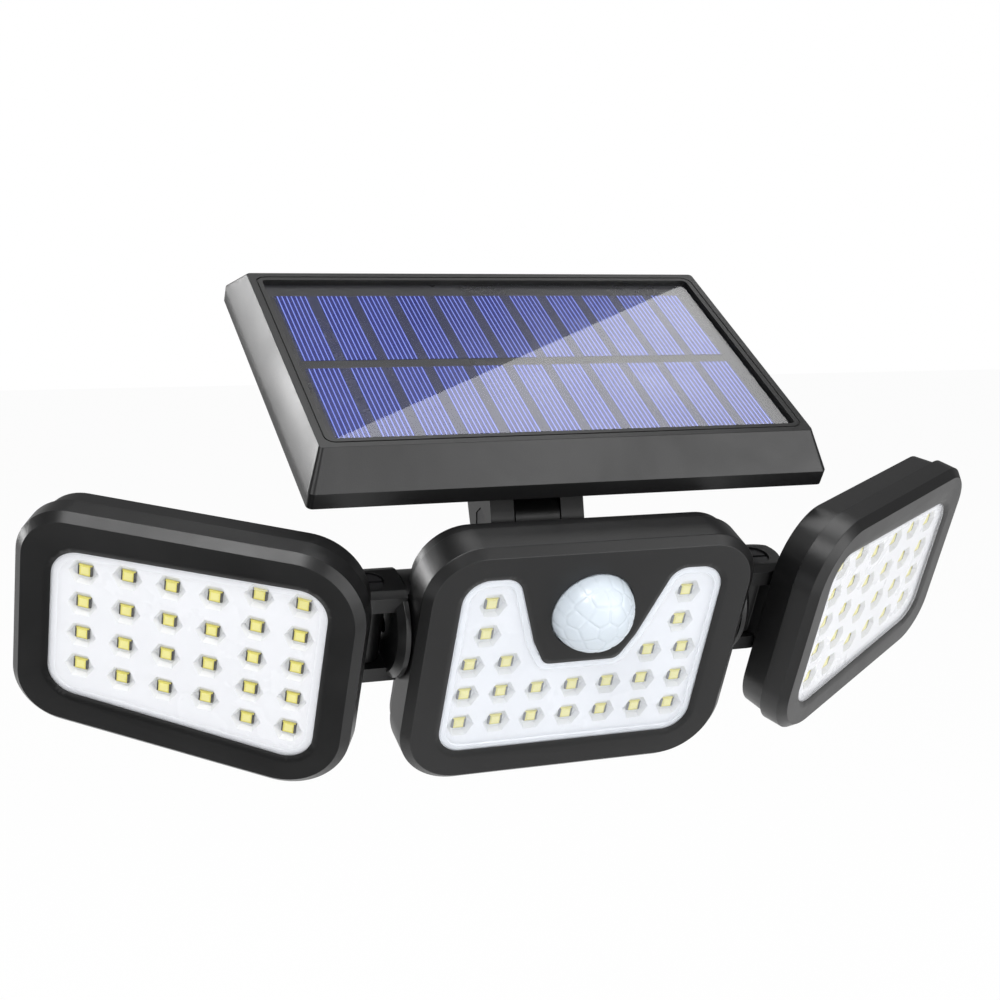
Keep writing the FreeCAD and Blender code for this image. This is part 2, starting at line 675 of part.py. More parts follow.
def side_rear_shell():
    """Shallow shell that closes the bezel, with the fold hinge's barrel behind its inner end."""
    rim = grown(side_outline(), -S_SHELL_INSET)
    back = grown(rim, -S_BACK_INSET)
    outer = drafted(rim, S_SEAM, back, S_BACK)
    hollow = drafted(grown(rim, -WALL), S_SEAM - 0.01, grown(back, -WALL), S_BACK - WALL)
    columns = [rod_y(WELL_R + 1.0, x, (S_SEAM, S_BACK), z).common(outer) for x, z in side_screw_spots()]
    holes = [rod_y(SCREW_HOLE_R, x, (S_SEAM - 1, S_BACK), z) for x, z in side_screw_spots()]
    wells = [rod_y(SCREW_HEAD_R + FIT_GAP, x, (S_HEAD_SEAT, S_BACK + 1), z) for x, z in side_screw_spots()]
    pin_x, pin_y = fold_axis()
    middle = SWIVEL_Z - S_Z
    half = EAR_SPAN / 2 - EAR_T - RUN_GAP
    level = (middle - half, middle + half)
    barrel = rod_z(BARREL_R, pin_x, pin_y, level)
    neck = box((pin_x - BARREL_R, pin_x + BARREL_R * 0.4), (S_BACK - WALL, pin_y), level)
    bore = rod_z(PIN_R + PIN_GAP, pin_x, pin_y, (middle - half - 1, middle + half + 1))
    groove = seal(rim, S_SEAM, (WALL - GASKET_W) / 2)
    body = joined(cut(outer, hollow), barrel, neck, *columns)
    return cut(body, groove, bore, *(holes + wells))


def side_parts():
    lens, cups, board, leds = optics(side_window(), side_spots())
    return {
        "bezel": side_bezel(),
        "lens": lens,
        "reflector": cups,
        "led_board": board,
        "leds": leds,
        "seal": seal(grown(side_outline(), -S_SHELL_INSET), S_SEAM, (WALL - GASKET_W) / 2),
        "rear_shell": side_rear_shell(),
        "screws": Part.makeCompound(
            [screw_y(x, z, S_HEAD_SEAT, S_HEAD_SEAT - BOARD_BACK + 0.6) for x, z in side_screw_spots()]),
    }


# ---- side joints: drawn on the left, in the centre head's frame -----------------------------
def swivel_knuckle():
    """Bevelled plate that turns on the housing's boss, and two ears for the fold pin."""
    face = -(BOSS_OUTER + RUN_GAP)
    outer = face - SWIVEL_T
    disc = rod_x(SWIVEL_R, (outer + SWIVEL_BEVEL, face), SWIVEL_Y, SWIVEL_Z)
    bevel = Part.makeCone(SWIVEL_R, SWIVEL_R - SWIVEL_BEVEL, SWIVEL_BEVEL,
                          V(outer + SWIVEL_BEVEL, SWIVEL_Y, SWIVEL_Z), V(-1, 0, 0))
    low = SWIVEL_Z - EAR_SPAN / 2
    high = SWIVEL_Z + EAR_SPAN / 2
    trim = rod_x(EAR_TRIM_R, (-PIN_X - EAR_R - 1, face), SWIVEL_Y, SWIVEL_Z)
    ears = []
    for level in ((low, low + EAR_T), (high - EAR_T, high)):
        tip = rod_z(EAR_R, -PIN_X, PIN_Y, level)
        root = box((-PIN_X, face), (PIN_Y - EAR_R, PIN_Y + EAR_R), level)
        ears.append(joined(tip.cut(box((face, 0), (-FAR, FAR), (-FAR, FAR))), root).common(trim))
    spigot = rod_x(SPIGOT_R, (face, RUN_GAP + NUT_T + 0.6 - BOSS_INNER), SWIVEL_Y, SWIVEL_Z)
    body = joined(disc, bevel, spigot, *ears)
    bore = rod_x(SPIGOT_BORE, (outer - 1, 0), SWIVEL_Y, SWIVEL_Z)
    pin = rod_z(PIN_R + 0.02, -PIN_X, PIN_Y, (low - 1, high + 1))
    recess = rod_z(PIN_HEAD_R + FIT_GAP, -PIN_X, PIN_Y, (high - PIN_HEAD_T, high + 1))
    return cut(body, bore, pin, recess)


def swivel_nut():
    """Ring nut on the spigot, inside the housing."""
    start = RUN_GAP - BOSS_INNER
    ring_nut = rod_x(NUT_R, (start, start + NUT_T), SWIVEL_Y, SWIVEL_Z)
    return ring_nut.cut(rod_x(SPIGOT_R + 0.02, (start - 1, start + NUT_T + 1), SWIVEL_Y, SWIVEL_Z))


def fold_pin():
    """Headed pin through both ears, its head sunk in the upper one."""
    low = SWIVEL_Z - EAR_SPAN / 2
    high = SWIVEL_Z + EAR_SPAN / 2
    shank = rod_z(PIN_R, -PIN_X, PIN_Y, (low, high - PIN_HEAD_T))
    head = rod_z(PIN_HEAD_R, -PIN_X, PIN_Y, (high - PIN_HEAD_T, high - 0.5))
    slot = box((-PIN_X - 5, -PIN_X + 5), (PIN_Y - 0.4, PIN_Y + 0.4), (high - 1.0, high))
    return joined(shank, head).cut(slot)


def knuckle_parts():
    return {"swivel_knuckle": swivel_knuckle(), "swivel_nut": swivel_nut(), "fold_pin": fold_pin()}


# ---- links and hinges seen from the side ---------------------------------------------------
def link_x(x, first, second):
    """Flat link along X round two circles given as (y, z, radius), sides tangent to both."""
    (y1, z1, r1), (y2, z2, r2) = first, second
    reach = math.hypot(y2 - y1, z2 - z1)
    along = math.atan2(z2 - z1, y2 - y1)
    spread = math.acos((r1 - r2) / reach)
    corners = []
    for y, z, radius, sign in ((y1, z1, r1, 1), (y2, z2, r2, 1), (y2, z2, r2, -1), (y1, z1, r1, -1)):
        turn = along + sign * spread
        corners.append(V(x[0], y + radius * math.cos(turn), z + radius * math.sin(turn)))
    plate = Part.Face(Part.makePolygon(corners + corners[:1])).extrude(V(x[1] - x[0], 0, 0))
    return joined(plate, rod_x(r1, x, y1, z1), rod_x(r2, x, y2, z2))


# ---- solar panel: Y is the depth below its top face, Z runs up the slope ---------------------
P_LEDGE = 4.0              # ledge the laminate lies on
P_DECK = P_RIM_D + LAM_T + 1.6
P_SCREW_X = (P_SCREW_IN - P_HALF_W, 0.0, P_HALF_W - P_SCREW_IN)
P_SCREW_Z = (P_SCREW_BEYOND, P_LEN + P_SCREW_BEYOND)
P_HEAD_SEAT = 0.7          # plastic left under each screw head
FORK_SCREW_X = 13.0
FORK_SCREW_Z = (9.5, 24.5)
FORK_FRONT = 17.0          # front edge of the fork's base, up the slope


def panel_outline(depth):
    part = min(depth / P_BEVEL_D, 1.0)
    half = P_HALF_W + P_SIDE_OUT * part
    low = -P_FRONT_OUT * part
    high = P_LEN + P_REAR_OUT * part
    radius = P_CORNER * (0.7 + 0.3 * part)
    return ring([(-half, low, radius), (half, low, radius), (half, high, radius), (-half, high, radius)])


def laminate_outline():
    half = P_HALF_W - P_RIM
    return ring([(-half, P_RIM, 1.0), (half, P_RIM, 1.0), (half, P_LEN - P_RIM, 1.0), (-half, P_LEN - P_RIM, 1.0)])


def panel_bosses():
    return [(x, z) for x in P_SCREW_X for z in P_SCREW_Z]


def panel_housing():
    wide = panel_outline(P_BEVEL_D)
    outer = joined(drafted(panel_outline(0), 0, wide, P_BEVEL_D), slab(wide, P_BEVEL_D, P_DEPTH))
    pocket = slab(grown(laminate_outline(), FIT_GAP), -1, P_RIM_D + LAM_T)
    light_well = slab(grown(laminate_outline(), -P_LEDGE), 0, P_DECK + 1)
    line = slab(grown(laminate_outline(), 1.9), -1, 0.3).cut(slab(grown(laminate_outline(), 1.5), -2, 1))
    hollow = joined(drafted(grown(panel_outline(P_DECK), -P_WALL - 0.6), P_DECK, grown(wide, -P_WALL), P_BEVEL_D),
                    slab(grown(wide, -P_WALL), P_BEVEL_D, P_DEPTH + 1))
    bosses = [rod_y(2.8, x, (P_DECK - 0.5, P_DEPTH - P_BACK_T), z) for x, z in panel_bosses()]
    pilots = [rod_y(SCREW_R + 0.02, x, (P_DECK + 0.6, P_DEPTH), z) for x, z in panel_bosses()]
    return cut(joined(cut(outer, pocket, light_well, line, hollow), *bosses), *pilots)


def solar_laminate():
    return slab(laminate_outline(), P_RIM_D, P_RIM_D + LAM_T)


def panel_seal():
    """Foam tape under the laminate's edge, seen only from inside."""
    low = P_RIM_D + LAM_T
    tape = slab(grown(laminate_outline(), -P_LEDGE), low, low + P_TAPE_T)
    return tape.cut(slab(grown(laminate_outline(), -P_LEDGE - P_TAPE_W), low - 1, low + P_TAPE_T + 1))


def hinge_in_panel():
    tilt = math.radians(PANEL_TILT)
    out = HINGE_Y - PANEL_EDGE_Y
    up = HINGE_Z - PANEL_EDGE_Z
    return out * math.sin(tilt) - up * math.cos(tilt), out * math.cos(tilt) + up * math.sin(tilt)


def fork_screw_spots():
    return [(side * FORK_SCREW_X, FORK_FRONT + z) for side in (-1, 1) for z in FORK_SCREW_Z]


def panel_back_cover():
    wide = grown(panel_outline(P_BEVEL_D), -P_WALL - FIT_GAP)
    plate = slab(wide, P_DEPTH - P_BACK_T, P_DEPTH)
    seats = [rod_y(SCREW_HEAD_R + FIT_GAP, x, (P_DEPTH - P_BACK_T + P_HEAD_SEAT, P_DEPTH + 1), z)
             for x, z in panel_bosses()]
    holes = [rod_y(SCREW_HOLE_R, x, (0, P_DEPTH + 1), z) for x, z in panel_bosses()]
    pads = [rod_y(3.2, x, (P_DEPTH - P_BACK_T - 2.4, P_DEPTH), z) for x, z in fork_screw_spots()]
    pilots = [rod_y(SCREW_R + 0.02, x, (P_DEPTH - P_BACK_T - 2, P_DEPTH + 1), z) for x, z in fork_screw_spots()]
    gland = rod_y(GLAND_R, 0, (0, P_DEPTH + 1), PANEL_GLAND_Z)
    return cut(joined(plate, *pads), gland, *(seats + holes + pilots))


PANEL_GLAND_Z = 62.0


def panel_gland():
    gland = cable_gland(GLAND_R - 0.02, P_BACK_T)
    gland.translate(V(0, P_DEPTH, PANEL_GLAND_Z))
    return gland


def panel_board():
    """Small charge board that carries the panel's lead, on the underside of the laminate."""
    low = P_RIM_D + LAM_T
    high_z = P_LEN - P_RIM - P_LEDGE - P_TAPE_W - P_BOARD_GAP
    return box((-P_BOARD_HALF, P_BOARD_HALF), (low, low + P_BOARD_T), (high_z - P_BOARD_LEN, high_z))


def panel_screws():
    seat = P_DEPTH - P_BACK_T + P_HEAD_SEAT
    return Part.makeCompound([screw_y(x, z, seat, P_SCREW_L) for x, z in panel_bosses()])


def panel_fork():
    """Base plate under the panel with two cheeks down to the hinge."""
    hinge_y, hinge_z = hinge_in_panel()
    base_low = P_DEPTH
    base_high = P_DEPTH + FORK_BASE_T
    back = FORK_FRONT + FORK_BASE_LEN
    base = slab(ring([(-FORK_BASE_HALF, FORK_FRONT, 3), (FORK_BASE_HALF, FORK_FRONT, 3),
                      (FORK_BASE_HALF, back, 3), (-FORK_BASE_HALF, back, 3)]), base_low, base_high)
    pieces = []
    inner = EYE_HALF + RUN_GAP
    for span in ((inner, inner + FORK_T), (-inner - FORK_T, -inner)):
        root = (base_high + 2.0, FORK_FRONT + FORK_BASE_LEN * 0.56, 9.5)
        cheek = link_x(span, (hinge_y, hinge_z, KNUCKLE_R), root)
        pieces.append(cheek.cut(box((-40, 40), (-20, base_low), (-40, 100))))
    body = joined(base, *pieces)
    bolt = rod_x(BOLT_R + PIN_GAP, (-30, 30), hinge_y, hinge_z)
    wells = [rod_y(SCREW_HEAD_R + FIT_GAP, x, (base_high - 1.0, base_high + 14), z) for x, z in fork_screw_spots()]
    holes = [rod_y(SCREW_HOLE_R, x, (base_low - 1, base_high + 1), z) for x, z in fork_screw_spots()]
    pocket = nut_pocket(hinge_y, hinge_z, inner + FORK_T)
    return cut(body, bolt, pocket, *(wells + holes))


def fork_screws():
    return Part.makeCompound([screw_y(x, z, P_DEPTH + FORK_BASE_T - 1.0, 5.6) for x, z in fork_screw_spots()])


def panel_parts():
    hinge_y, hinge_z = hinge_in_panel()
    edge = EYE_HALF + RUN_GAP + FORK_T
    return {
        "panel_housing": panel_housing(),
        "solar_laminate": solar_laminate(),
        "panel_seal": panel_seal(),
        "panel_board": panel_board(),
        "panel_back_cover": panel_back_cover(),
        "panel_screws": panel_screws(),
        "panel_cable_gland": panel_gland(),
        "panel_fork": panel_fork(),
        "fork_screws": fork_screws(),
        "panel_bolt": hinge_bolt(hinge_y, hinge_z, edge),
        "panel_nut": hinge_nut(hinge_y, hinge_z, edge),
    }


# ---- wall bracket: Y and Z from the middle LED ------------------------------------------------
def tilt_in_bracket():
    pitch = math.radians(HEAD_PITCH)
    return (TILT_Y * math.cos(pitch) - TILT_Z * math.sin(pitch),
            TILT_Y * math.sin(pitch) + TILT_Z * math.cos(pitch))


def bracket_arm():
    """Arm with an eye for the panel above and an eye for the lamp below."""
    low_y, low_z = tilt_in_bracket()
    foot_back = LED_FROM_WALL - PLATE_T
    foot_front = foot_back - ARM_FOOT_T
    span = (-EYE_HALF, EYE_HALF)
    high_root = (foot_front, LED_DROP + ARM_ROOT_Z, ARM_ROOT_R)
    low_root = (foot_front, LED_DROP - ARM_ROOT_Z, ARM_ROOT_R)
    upper = link_x(span, (HINGE_Y, HINGE_Z, KNUCKLE_R), high_root)
    lower = link_x(span, (low_y, low_z, KNUCKLE_R), low_root)
    corners = [(HINGE_Y, HINGE_Z), high_root[:2], low_root[:2], (low_y, low_z)]
    points = [V(-EYE_HALF, y, z) for y, z in corners]
    web = Part.Face(Part.makePolygon(points + points[:1])).extrude(V(2 * EYE_HALF, 0, 0))
    half_w = ARM_FOOT_W / 2
    half_h = ARM_FOOT_H / 2
    foot = slab(ring([(-half_w, LED_DROP - half_h, 4), (half_w, LED_DROP - half_h, 4),
                      (half_w, LED_DROP + half_h, 4), (-half_w, LED_DROP + half_h, 4)]), foot_front, foot_back)
    behind = box((-FAR, FAR), (foot_back, foot_back + FAR), (-FAR, FAR))
    body = joined(upper, lower, web, foot).cut(behind)
    holes = [rod_x(BOLT_R + PIN_GAP, (-20, 20), HINGE_Y, HINGE_Z), rod_x(BOLT_R + PIN_GAP, (-20, 20), low_y, low_z)]
    pilots = [rod_y(SCREW_R + 0.02, x, (foot_front + 0.5, foot_back + 1), z) for x, z in arm_screw_spots()]
    return cut(body, *(arm_pockets(low_y, low_z, foot_front) + holes + pilots))


def arm_pockets(low_y, low_z, foot_front):
    """A long rounded pocket in each side of the arm, along its middle line."""
    eyes = V(0, (HINGE_Y + low_y) / 2, (HINGE_Z + low_z) / 2)
    run = V(0, foot_front, LED_DROP) - eyes
    near = eyes + run * 0.2
    far = eyes + run * 0.8
    pockets = []
    for x in ((ARM_POCKET_D, EYE_HALF + 1), (-EYE_HALF - 1, -ARM_POCKET_D)):
        pockets.append(link_x(x, (near.y, near.z, ARM_POCKET_R + 2), (far.y, far.z, ARM_POCKET_R)))
    return pockets


def arm_screw_spots():
    return [(side * ARM_SCREW_X, LED_DROP + end * ARM_SCREW_Z) for side in (-1, 1) for end in (-1, 1)]


def wall_plate():
    front = LED_FROM_WALL - PLATE_T
    half_w = PLATE_W / 2
    half_h = PLATE_H / 2
    outline = ring([(-half_w, LED_DROP - half_h, PLATE_R), (half_w, LED_DROP - half_h, PLATE_R),
                    (half_w, LED_DROP + half_h, PLATE_R), (-half_w, LED_DROP + half_h, PLATE_R)])
    body = joined(drafted(grown(outline, -1.0), front, outline, front + 1.0), slab(outline, front + 1.0, LED_FROM_WALL))
    tools = []
    for x in (-WALL_HOLE_X, WALL_HOLE_X):
        for z in (LED_DROP - WALL_HOLE_Z, LED_DROP + WALL_HOLE_Z):
            tools.append(rod_y(WALL_HOLE_R, x, (front - 1, LED_FROM_WALL + 1), z))
            tools.append(Part.makeCone(WALL_HEAD_R, WALL_HOLE_R, WALL_HEAD_R - WALL_HOLE_R, V(x, front, z), V(0, 1, 0)))
    for x, z in arm_screw_spots():
        tools.append(rod_y(SCREW_HOLE_R, x, (front - 1, LED_FROM_WALL), z))
        tools.append(rod_y(SCREW_HEAD_R + FIT_GAP, x, (front + PLATE_T * 0.55, LED_FROM_WALL + 1), z))
    return cut(body, *tools)


def bracket_parts():
    seat = LED_FROM_WALL - PLATE_T * 0.45
    return {
        "wall_plate": wall_plate(),
        "bracket_arm": bracket_arm(),
        "arm_screws": Part.makeCompound([screw_y(x, z, seat, ARM_SCREW_L) for x, z in arm_screw_spots()]),
    }


# ---- everything into its place -------------------------------------------------------------------
def turned(shape, axis, degrees, move):
    moved = shape.copy()
    moved.Placement = FreeCAD.Placement(V(*move), FreeCAD.Rotation(V(*axis), degrees))
    return moved


TO_WALL = (0, -LED_FROM_WALL, -LED_DROP)


def in_head(shape):
    return turned(shape, (1, 0, 0), HEAD_PITCH, TO_WALL)


def in_panel(shape):
    move = (0, PANEL_EDGE_Y - LED_FROM_WALL, PANEL_EDGE_Z - LED_DROP)
    return turned(shape, (1, 0, 0), PANEL_TILT - 90, move)


def baked(shape, place):
    """The shape moved by a function, with its position worked into its geometry."""
    holder = Part.makeCompound([shape])
    return place(holder).copy()


def all_parts():
    parts = {}
    for name, shape in bracket_parts().items():
        parts[name] = turned(Part.makeCompound([shape]), (1, 0, 0), 0, TO_WALL)
    for name, shape in panel_parts().items():
        parts[name] = baked(shape, in_panel)
    for name, shape in centre_parts().items():
        parts[name] = baked(shape, in_head)
    left = {}
    for name, shape in side_parts().items():
        folded = turned(Part.makeCompound([shape]), (0, 0, 1), -FOLD_REST, (-S_X, S_Y, S_Z))
        left["left_" + name] = baked(folded, in_head)
    for name, shape in knuckle_parts().items():
        left["left_" + name] = baked(shape, in_head)
    for name, shape in left.items():
        parts[name] = shape
        parts[name.replace("left_", "right_")] = shape.mirror(V(0, 0, 0), V(1, 0, 0))
    return parts


def main():
    os.makedirs("parts", exist_ok=True)
    for name, shape in all_parts().items():
        solids = shape.Solids
        whole = solids[0] if len(solids) == 1 else Part.makeCompound(solids)
        whole.exportStep("parts/" + name + ".step")
        box_of = whole.BoundBox
        print("%-24s %2d solid(s) %9.1f mm3  %s  x %.1f..%.1f y %.1f..%.1f z %.1f..%.1f" % (
            name, len(solids), whole.Volume, "ok" if whole.isValid() else "INVALID",
            box_of.XMin, box_of.XMax, box_of.YMin, box_of.YMax, box_of.ZMin, box_of.ZMax))


main()
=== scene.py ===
"""Three-head solar security light: the visible pieces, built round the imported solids.

Sizes are in millimetres in the piece's own frame (x across, y depth away from the
viewer, z up the face) and are turned into metres in the row frame as each mesh is baked.
"""
import json
import math

import bmesh
import bpy
from mathutils import Matrix, Vector


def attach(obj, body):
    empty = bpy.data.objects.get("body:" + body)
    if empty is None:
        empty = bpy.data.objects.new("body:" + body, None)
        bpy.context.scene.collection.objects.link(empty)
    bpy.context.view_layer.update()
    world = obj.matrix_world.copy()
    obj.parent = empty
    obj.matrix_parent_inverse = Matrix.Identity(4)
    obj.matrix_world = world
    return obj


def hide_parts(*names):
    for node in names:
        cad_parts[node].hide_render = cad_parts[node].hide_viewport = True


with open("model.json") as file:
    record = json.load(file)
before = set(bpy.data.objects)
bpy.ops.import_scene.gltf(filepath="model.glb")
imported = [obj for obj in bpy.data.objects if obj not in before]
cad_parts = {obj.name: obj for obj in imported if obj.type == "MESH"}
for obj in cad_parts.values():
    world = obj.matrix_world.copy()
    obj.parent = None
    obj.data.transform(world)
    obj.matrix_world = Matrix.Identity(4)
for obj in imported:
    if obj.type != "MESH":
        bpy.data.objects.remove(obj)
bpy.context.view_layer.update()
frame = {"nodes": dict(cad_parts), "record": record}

bl_info = {
    "name": "Solar Security Light",
    "version": (1, 0, 0),
    "blender": (4, 5, 0),
    "location": "View3D > Sidebar > Security Light",
    "description": "Builds the shells, optics, sensor dome and solar panel of a wall light",
    "category": "Add Mesh",
}

MM = 0.001


# ---- frames of the heads and the panel --------------------------------------------
HEAD_PITCH = 24.8          # degrees, as are the next two
FOLD_REST = 30.0
PANEL_TILT = 31.1
LED_ORIGIN = Vector((0, -80.0, 0)) * MM
PANEL_EDGE = Vector((0, -88.1, 69.4)) * MM
SIDE_ORIGIN = Vector((70.9, 2.2, 18.3)) * MM


def turn(axis, degrees):
    return Matrix.Rotation(math.radians(degrees), 4, axis)


HEAD = Matrix.Translation(LED_ORIGIN) @ turn("X", HEAD_PITCH)
PANEL = Matrix.Translation(PANEL_EDGE) @ turn("X", PANEL_TILT - 90)
SIDES = {
    "left": HEAD @ Matrix.Translation(SIDE_ORIGIN * Vector((-1, 1, 1))) @ turn("Z", -FOLD_REST),
    "right": HEAD @ Matrix.Translation(SIDE_ORIGIN) @ turn("Z", FOLD_REST),
}
OUTWARD = {"left": -1, "right": 1}


# ---- settings that a user would change ------------------------------------------------
def colour(name, description, default):
    return bpy.props.FloatVectorProperty(
        name=name, description=description, subtype="COLOR", size=3, min=0, max=1, default=default)


def length(name, description, millimetres):
    """A length setting, kept in metres as the scene's own lengths are."""
    return bpy.props.FloatProperty(
        name=name, description=description, subtype="DISTANCE", min=0, precision=5,
        default=millimetres * MM)


class LIGHT_PG_colours(bpy.types.PropertyGroup):
    """Colours of the finishes, as linear values."""
    shell: colour("Shell", "Black moulded plastic", (0.0045, 0.0045, 0.0048))
    cups: colour("Cups", "White plastic round the LEDs", (0.86, 0.87, 0.90))
    phosphor: colour("Phosphor", "Yellow face of each LED", (0.60, 0.44, 0.005))
    dome: colour("Dome", "Milky plastic of the sensor dome", (0.60, 0.66, 0.72))
    cell: colour("Cell", "Blue solar cells", (0.003, 0.006, 0.13))
    gap: colour("Gap", "Navy strips between the cells", (0.003, 0.006, 0.045))
    finger: colour("Finger", "Printed lines on the cells", (0.16, 0.23, 0.72))


class LIGHT_PG_sizes(bpy.types.PropertyGroup):
    """Sizes that shape the visible pieces; the defaults below are in millimetres."""
    shell_round: length("Shell rounding", "Radius on the edges of the bezels and shells", 0.7)
    small_round: length("Small rounding", "Radius on the edges of small moulded pieces", 0.35)
    lenslet_groove: length("Lenslet groove", "Depth of the grooves between the dome's lenslets", 0.18)
    finger_width: length("Finger width", "Width of one printed line on a solar cell", 0.27)


# ---- shader helpers ----------------------------------------------------------------------
GRAIN_DEPTH, WRINKLE_DEPTH = 0.06, 0.1      # millimetres


def set_inputs(node, values):
    for name, value in values.items():
        node.inputs[name].default_value = value


def link(tree, source, target):
    tree.links.new(source, target)


def group(name, inputs, outputs, kind="ShaderNodeTree"):
    """Empty node group whose sockets have a label, a type and, if inputs, a default."""
    tree = bpy.data.node_groups.new(name, kind)
    for label, socket_type, default in inputs:
        socket = tree.interface.new_socket(label, in_out="INPUT", socket_type="NodeSocket" + socket_type)
        if default is not None:
            socket.default_value = default
    for label, socket_type in outputs:
        tree.interface.new_socket(label, in_out="OUTPUT", socket_type="NodeSocket" + socket_type)
    return tree, tree.nodes.new("NodeGroupInput"), tree.nodes.new("NodeGroupOutput")


def grain_group():
    """Fine spark-eroded grain, with a slow change of shade over the surface."""
    tree, start, end = group(
        "Moulded grain",
        [("Vector", "Vector", None), ("Grain scale", "Float", 2600.0), ("Shade scale", "Float", 40.0)],
        [("Height", "Float"), ("Shade", "Float")])
    fine = tree.nodes.new("ShaderNodeTexNoise")
    set_inputs(fine, {"Detail": 3.0, "Roughness": 0.55})
    link(tree, start.outputs["Vector"], fine.inputs["Vector"])
    link(tree, start.outputs["Grain scale"], fine.inputs["Scale"])
    slow = tree.nodes.new("ShaderNodeTexNoise")
    set_inputs(slow, {"Detail": 4.0, "Roughness": 0.6})
    link(tree, start.outputs["Vector"], slow.inputs["Vector"])
    link(tree, start.outputs["Shade scale"], slow.inputs["Scale"])
    link(tree, fine.outputs["Fac"], end.inputs["Height"])
    link(tree, slow.outputs["Fac"], end.inputs["Shade"])
    return tree


def smudge_group():
    """Slow patches that lift a value from Low to High, as wiped plastic and glass have."""
    tree, start, end = group(
        "Wiped patches",
        [("Vector", "Vector", None), ("Scale", "Float", 28.0), ("Low", "Float", 0.3), ("High", "Float", 0.4)],
        [("Value", "Float")])
    noise = tree.nodes.new("ShaderNodeTexNoise")
    set_inputs(noise, {"Detail": 5.0, "Roughness": 0.65, "Distortion": 0.4})
    spread = tree.nodes.new("ShaderNodeMapRange")
    set_inputs(spread, {"From Min": 0.35, "From Max": 0.68})
    link(tree, start.outputs["Vector"], noise.inputs["Vector"])
    link(tree, start.outputs["Scale"], noise.inputs["Scale"])
    link(tree, noise.outputs["Fac"], spread.inputs["Value"])
    link(tree, start.outputs["Low"], spread.inputs["To Min"])
    link(tree, start.outputs["High"], spread.inputs["To Max"])
    link(tree, spread.outputs["Result"], end.inputs["Value"])
    return tree


def shared_group(name):
    makers = {"Moulded grain": grain_group, "Wiped patches": smudge_group}
    return bpy.data.node_groups.get(name) or makers[name]()


def place_group(tree, name, vector, values):
    node = tree.nodes.new("ShaderNodeGroup")
    node.node_tree = shared_group(name)
    set_inputs(node, values)
    link(tree, vector, node.inputs["Vector"])
    return node


def add_bump(tree, height, strength, depth, target):
    """Bump from a height socket, with its depth in millimetres, on a shader's normal."""
    bump = tree.nodes.new("ShaderNodeBump")
    set_inputs(bump, {"Strength": strength, "Distance": depth * MM})
    link(tree, height, bump.inputs["Height"])
    link(tree, bump.outputs["Normal"], target)


def finish(name, base, rough=(0.35, 0.45), grain=0.15, grain_scale=2600.0, contrast=0.25, sockets=None):
    """Material with grain, patches and a two-shade base colour; sockets are set as they are."""
    found = bpy.data.materials.get(name)
    if found:
        return found
    material = bpy.data.materials.new(name)
    material.use_nodes = True
    tree = material.node_tree
    shader = tree.nodes["Principled BSDF"]
    place = tree.nodes.new("ShaderNodeTexCoord").outputs["Object"]
    grained = place_group(tree, "Moulded grain", place, {"Grain scale": grain_scale})
    wiped = place_group(tree, "Wiped patches", place, {"Low": rough[0], "High": rough[1]})
    mix = tree.nodes.new("ShaderNodeMix")
    mix.data_type = "RGBA"
    mix.inputs["A"].default_value = (*[c * (1 - contrast) for c in base], 1)
    mix.inputs["B"].default_value = (*[min(c * (1 + contrast), 1) for c in base], 1)
    link(tree, grained.outputs["Shade"], mix.inputs["Factor"])
    link(tree, mix.outputs["Result"], shader.inputs["Base Color"])
    link(tree, wiped.outputs["Value"], shader.inputs["Roughness"])
    if grain > 0:
        add_bump(tree, grained.outputs["Height"], grain, GRAIN_DEPTH, shader.inputs["Normal"])
    set_inputs(shader, sockets or {})
    return material


def colours():
    return bpy.context.scene.light_colours


def sizes():
    return bpy.context.scene.light_sizes


def shell_black():
    return finish("shell_black_plastic", colours().shell, (0.30, 0.40), 0.22, 2400.0, 0.25,
                  {"Specular IOR Level": 0.5})


def inner_black():
    return finish("inner_black_plastic", (0.02, 0.02, 0.022), (0.45, 0.6), 0.2, 2000.0, 0.3)


def steel():
    return finish("zinc_plated_steel", (0.56, 0.56, 0.57), (0.25, 0.4), 0.1, 3000.0, 0.08,
                  {"Metallic": 1.0})


def rubber():
    return finish("black_rubber", (0.018, 0.018, 0.019), (0.6, 0.8), 0.3, 3200.0, 0.3)


def cup_white():
    return finish("cup_white_plastic", colours().cups, (0.22, 0.34), 0.05, 1800.0, 0.03)


def board_white():
    return finish("board_white_mask", (0.78, 0.79, 0.79), (0.35, 0.5), 0.08, 2000.0, 0.05)


def board_green():
    return finish("board_green_mask", (0.02, 0.13, 0.05), (0.25, 0.4), 0.1, 900.0, 0.4)


def outer_gloss(tree, refraction):
    """Share of gloss that rises towards grazing, and is nothing on the sheet's inner side."""
    edge = tree.nodes.new("ShaderNodeFresnel")
    edge.inputs["IOR"].default_value = refraction
    facing = tree.nodes.new("ShaderNodeMath")
    facing.operation = "MULTIPLY_ADD"
    facing.inputs[1].default_value = -1.0
    facing.inputs[2].default_value = 1.0
    outer = tree.nodes.new("ShaderNodeMath")
    outer.operation = "MULTIPLY"
    link(tree, tree.nodes.new("ShaderNodeNewGeometry").outputs["Backfacing"], facing.inputs[0])
    link(tree, edge.outputs[0], outer.inputs[0])
    link(tree, facing.outputs[0], outer.inputs[1])
    return outer.outputs[0]


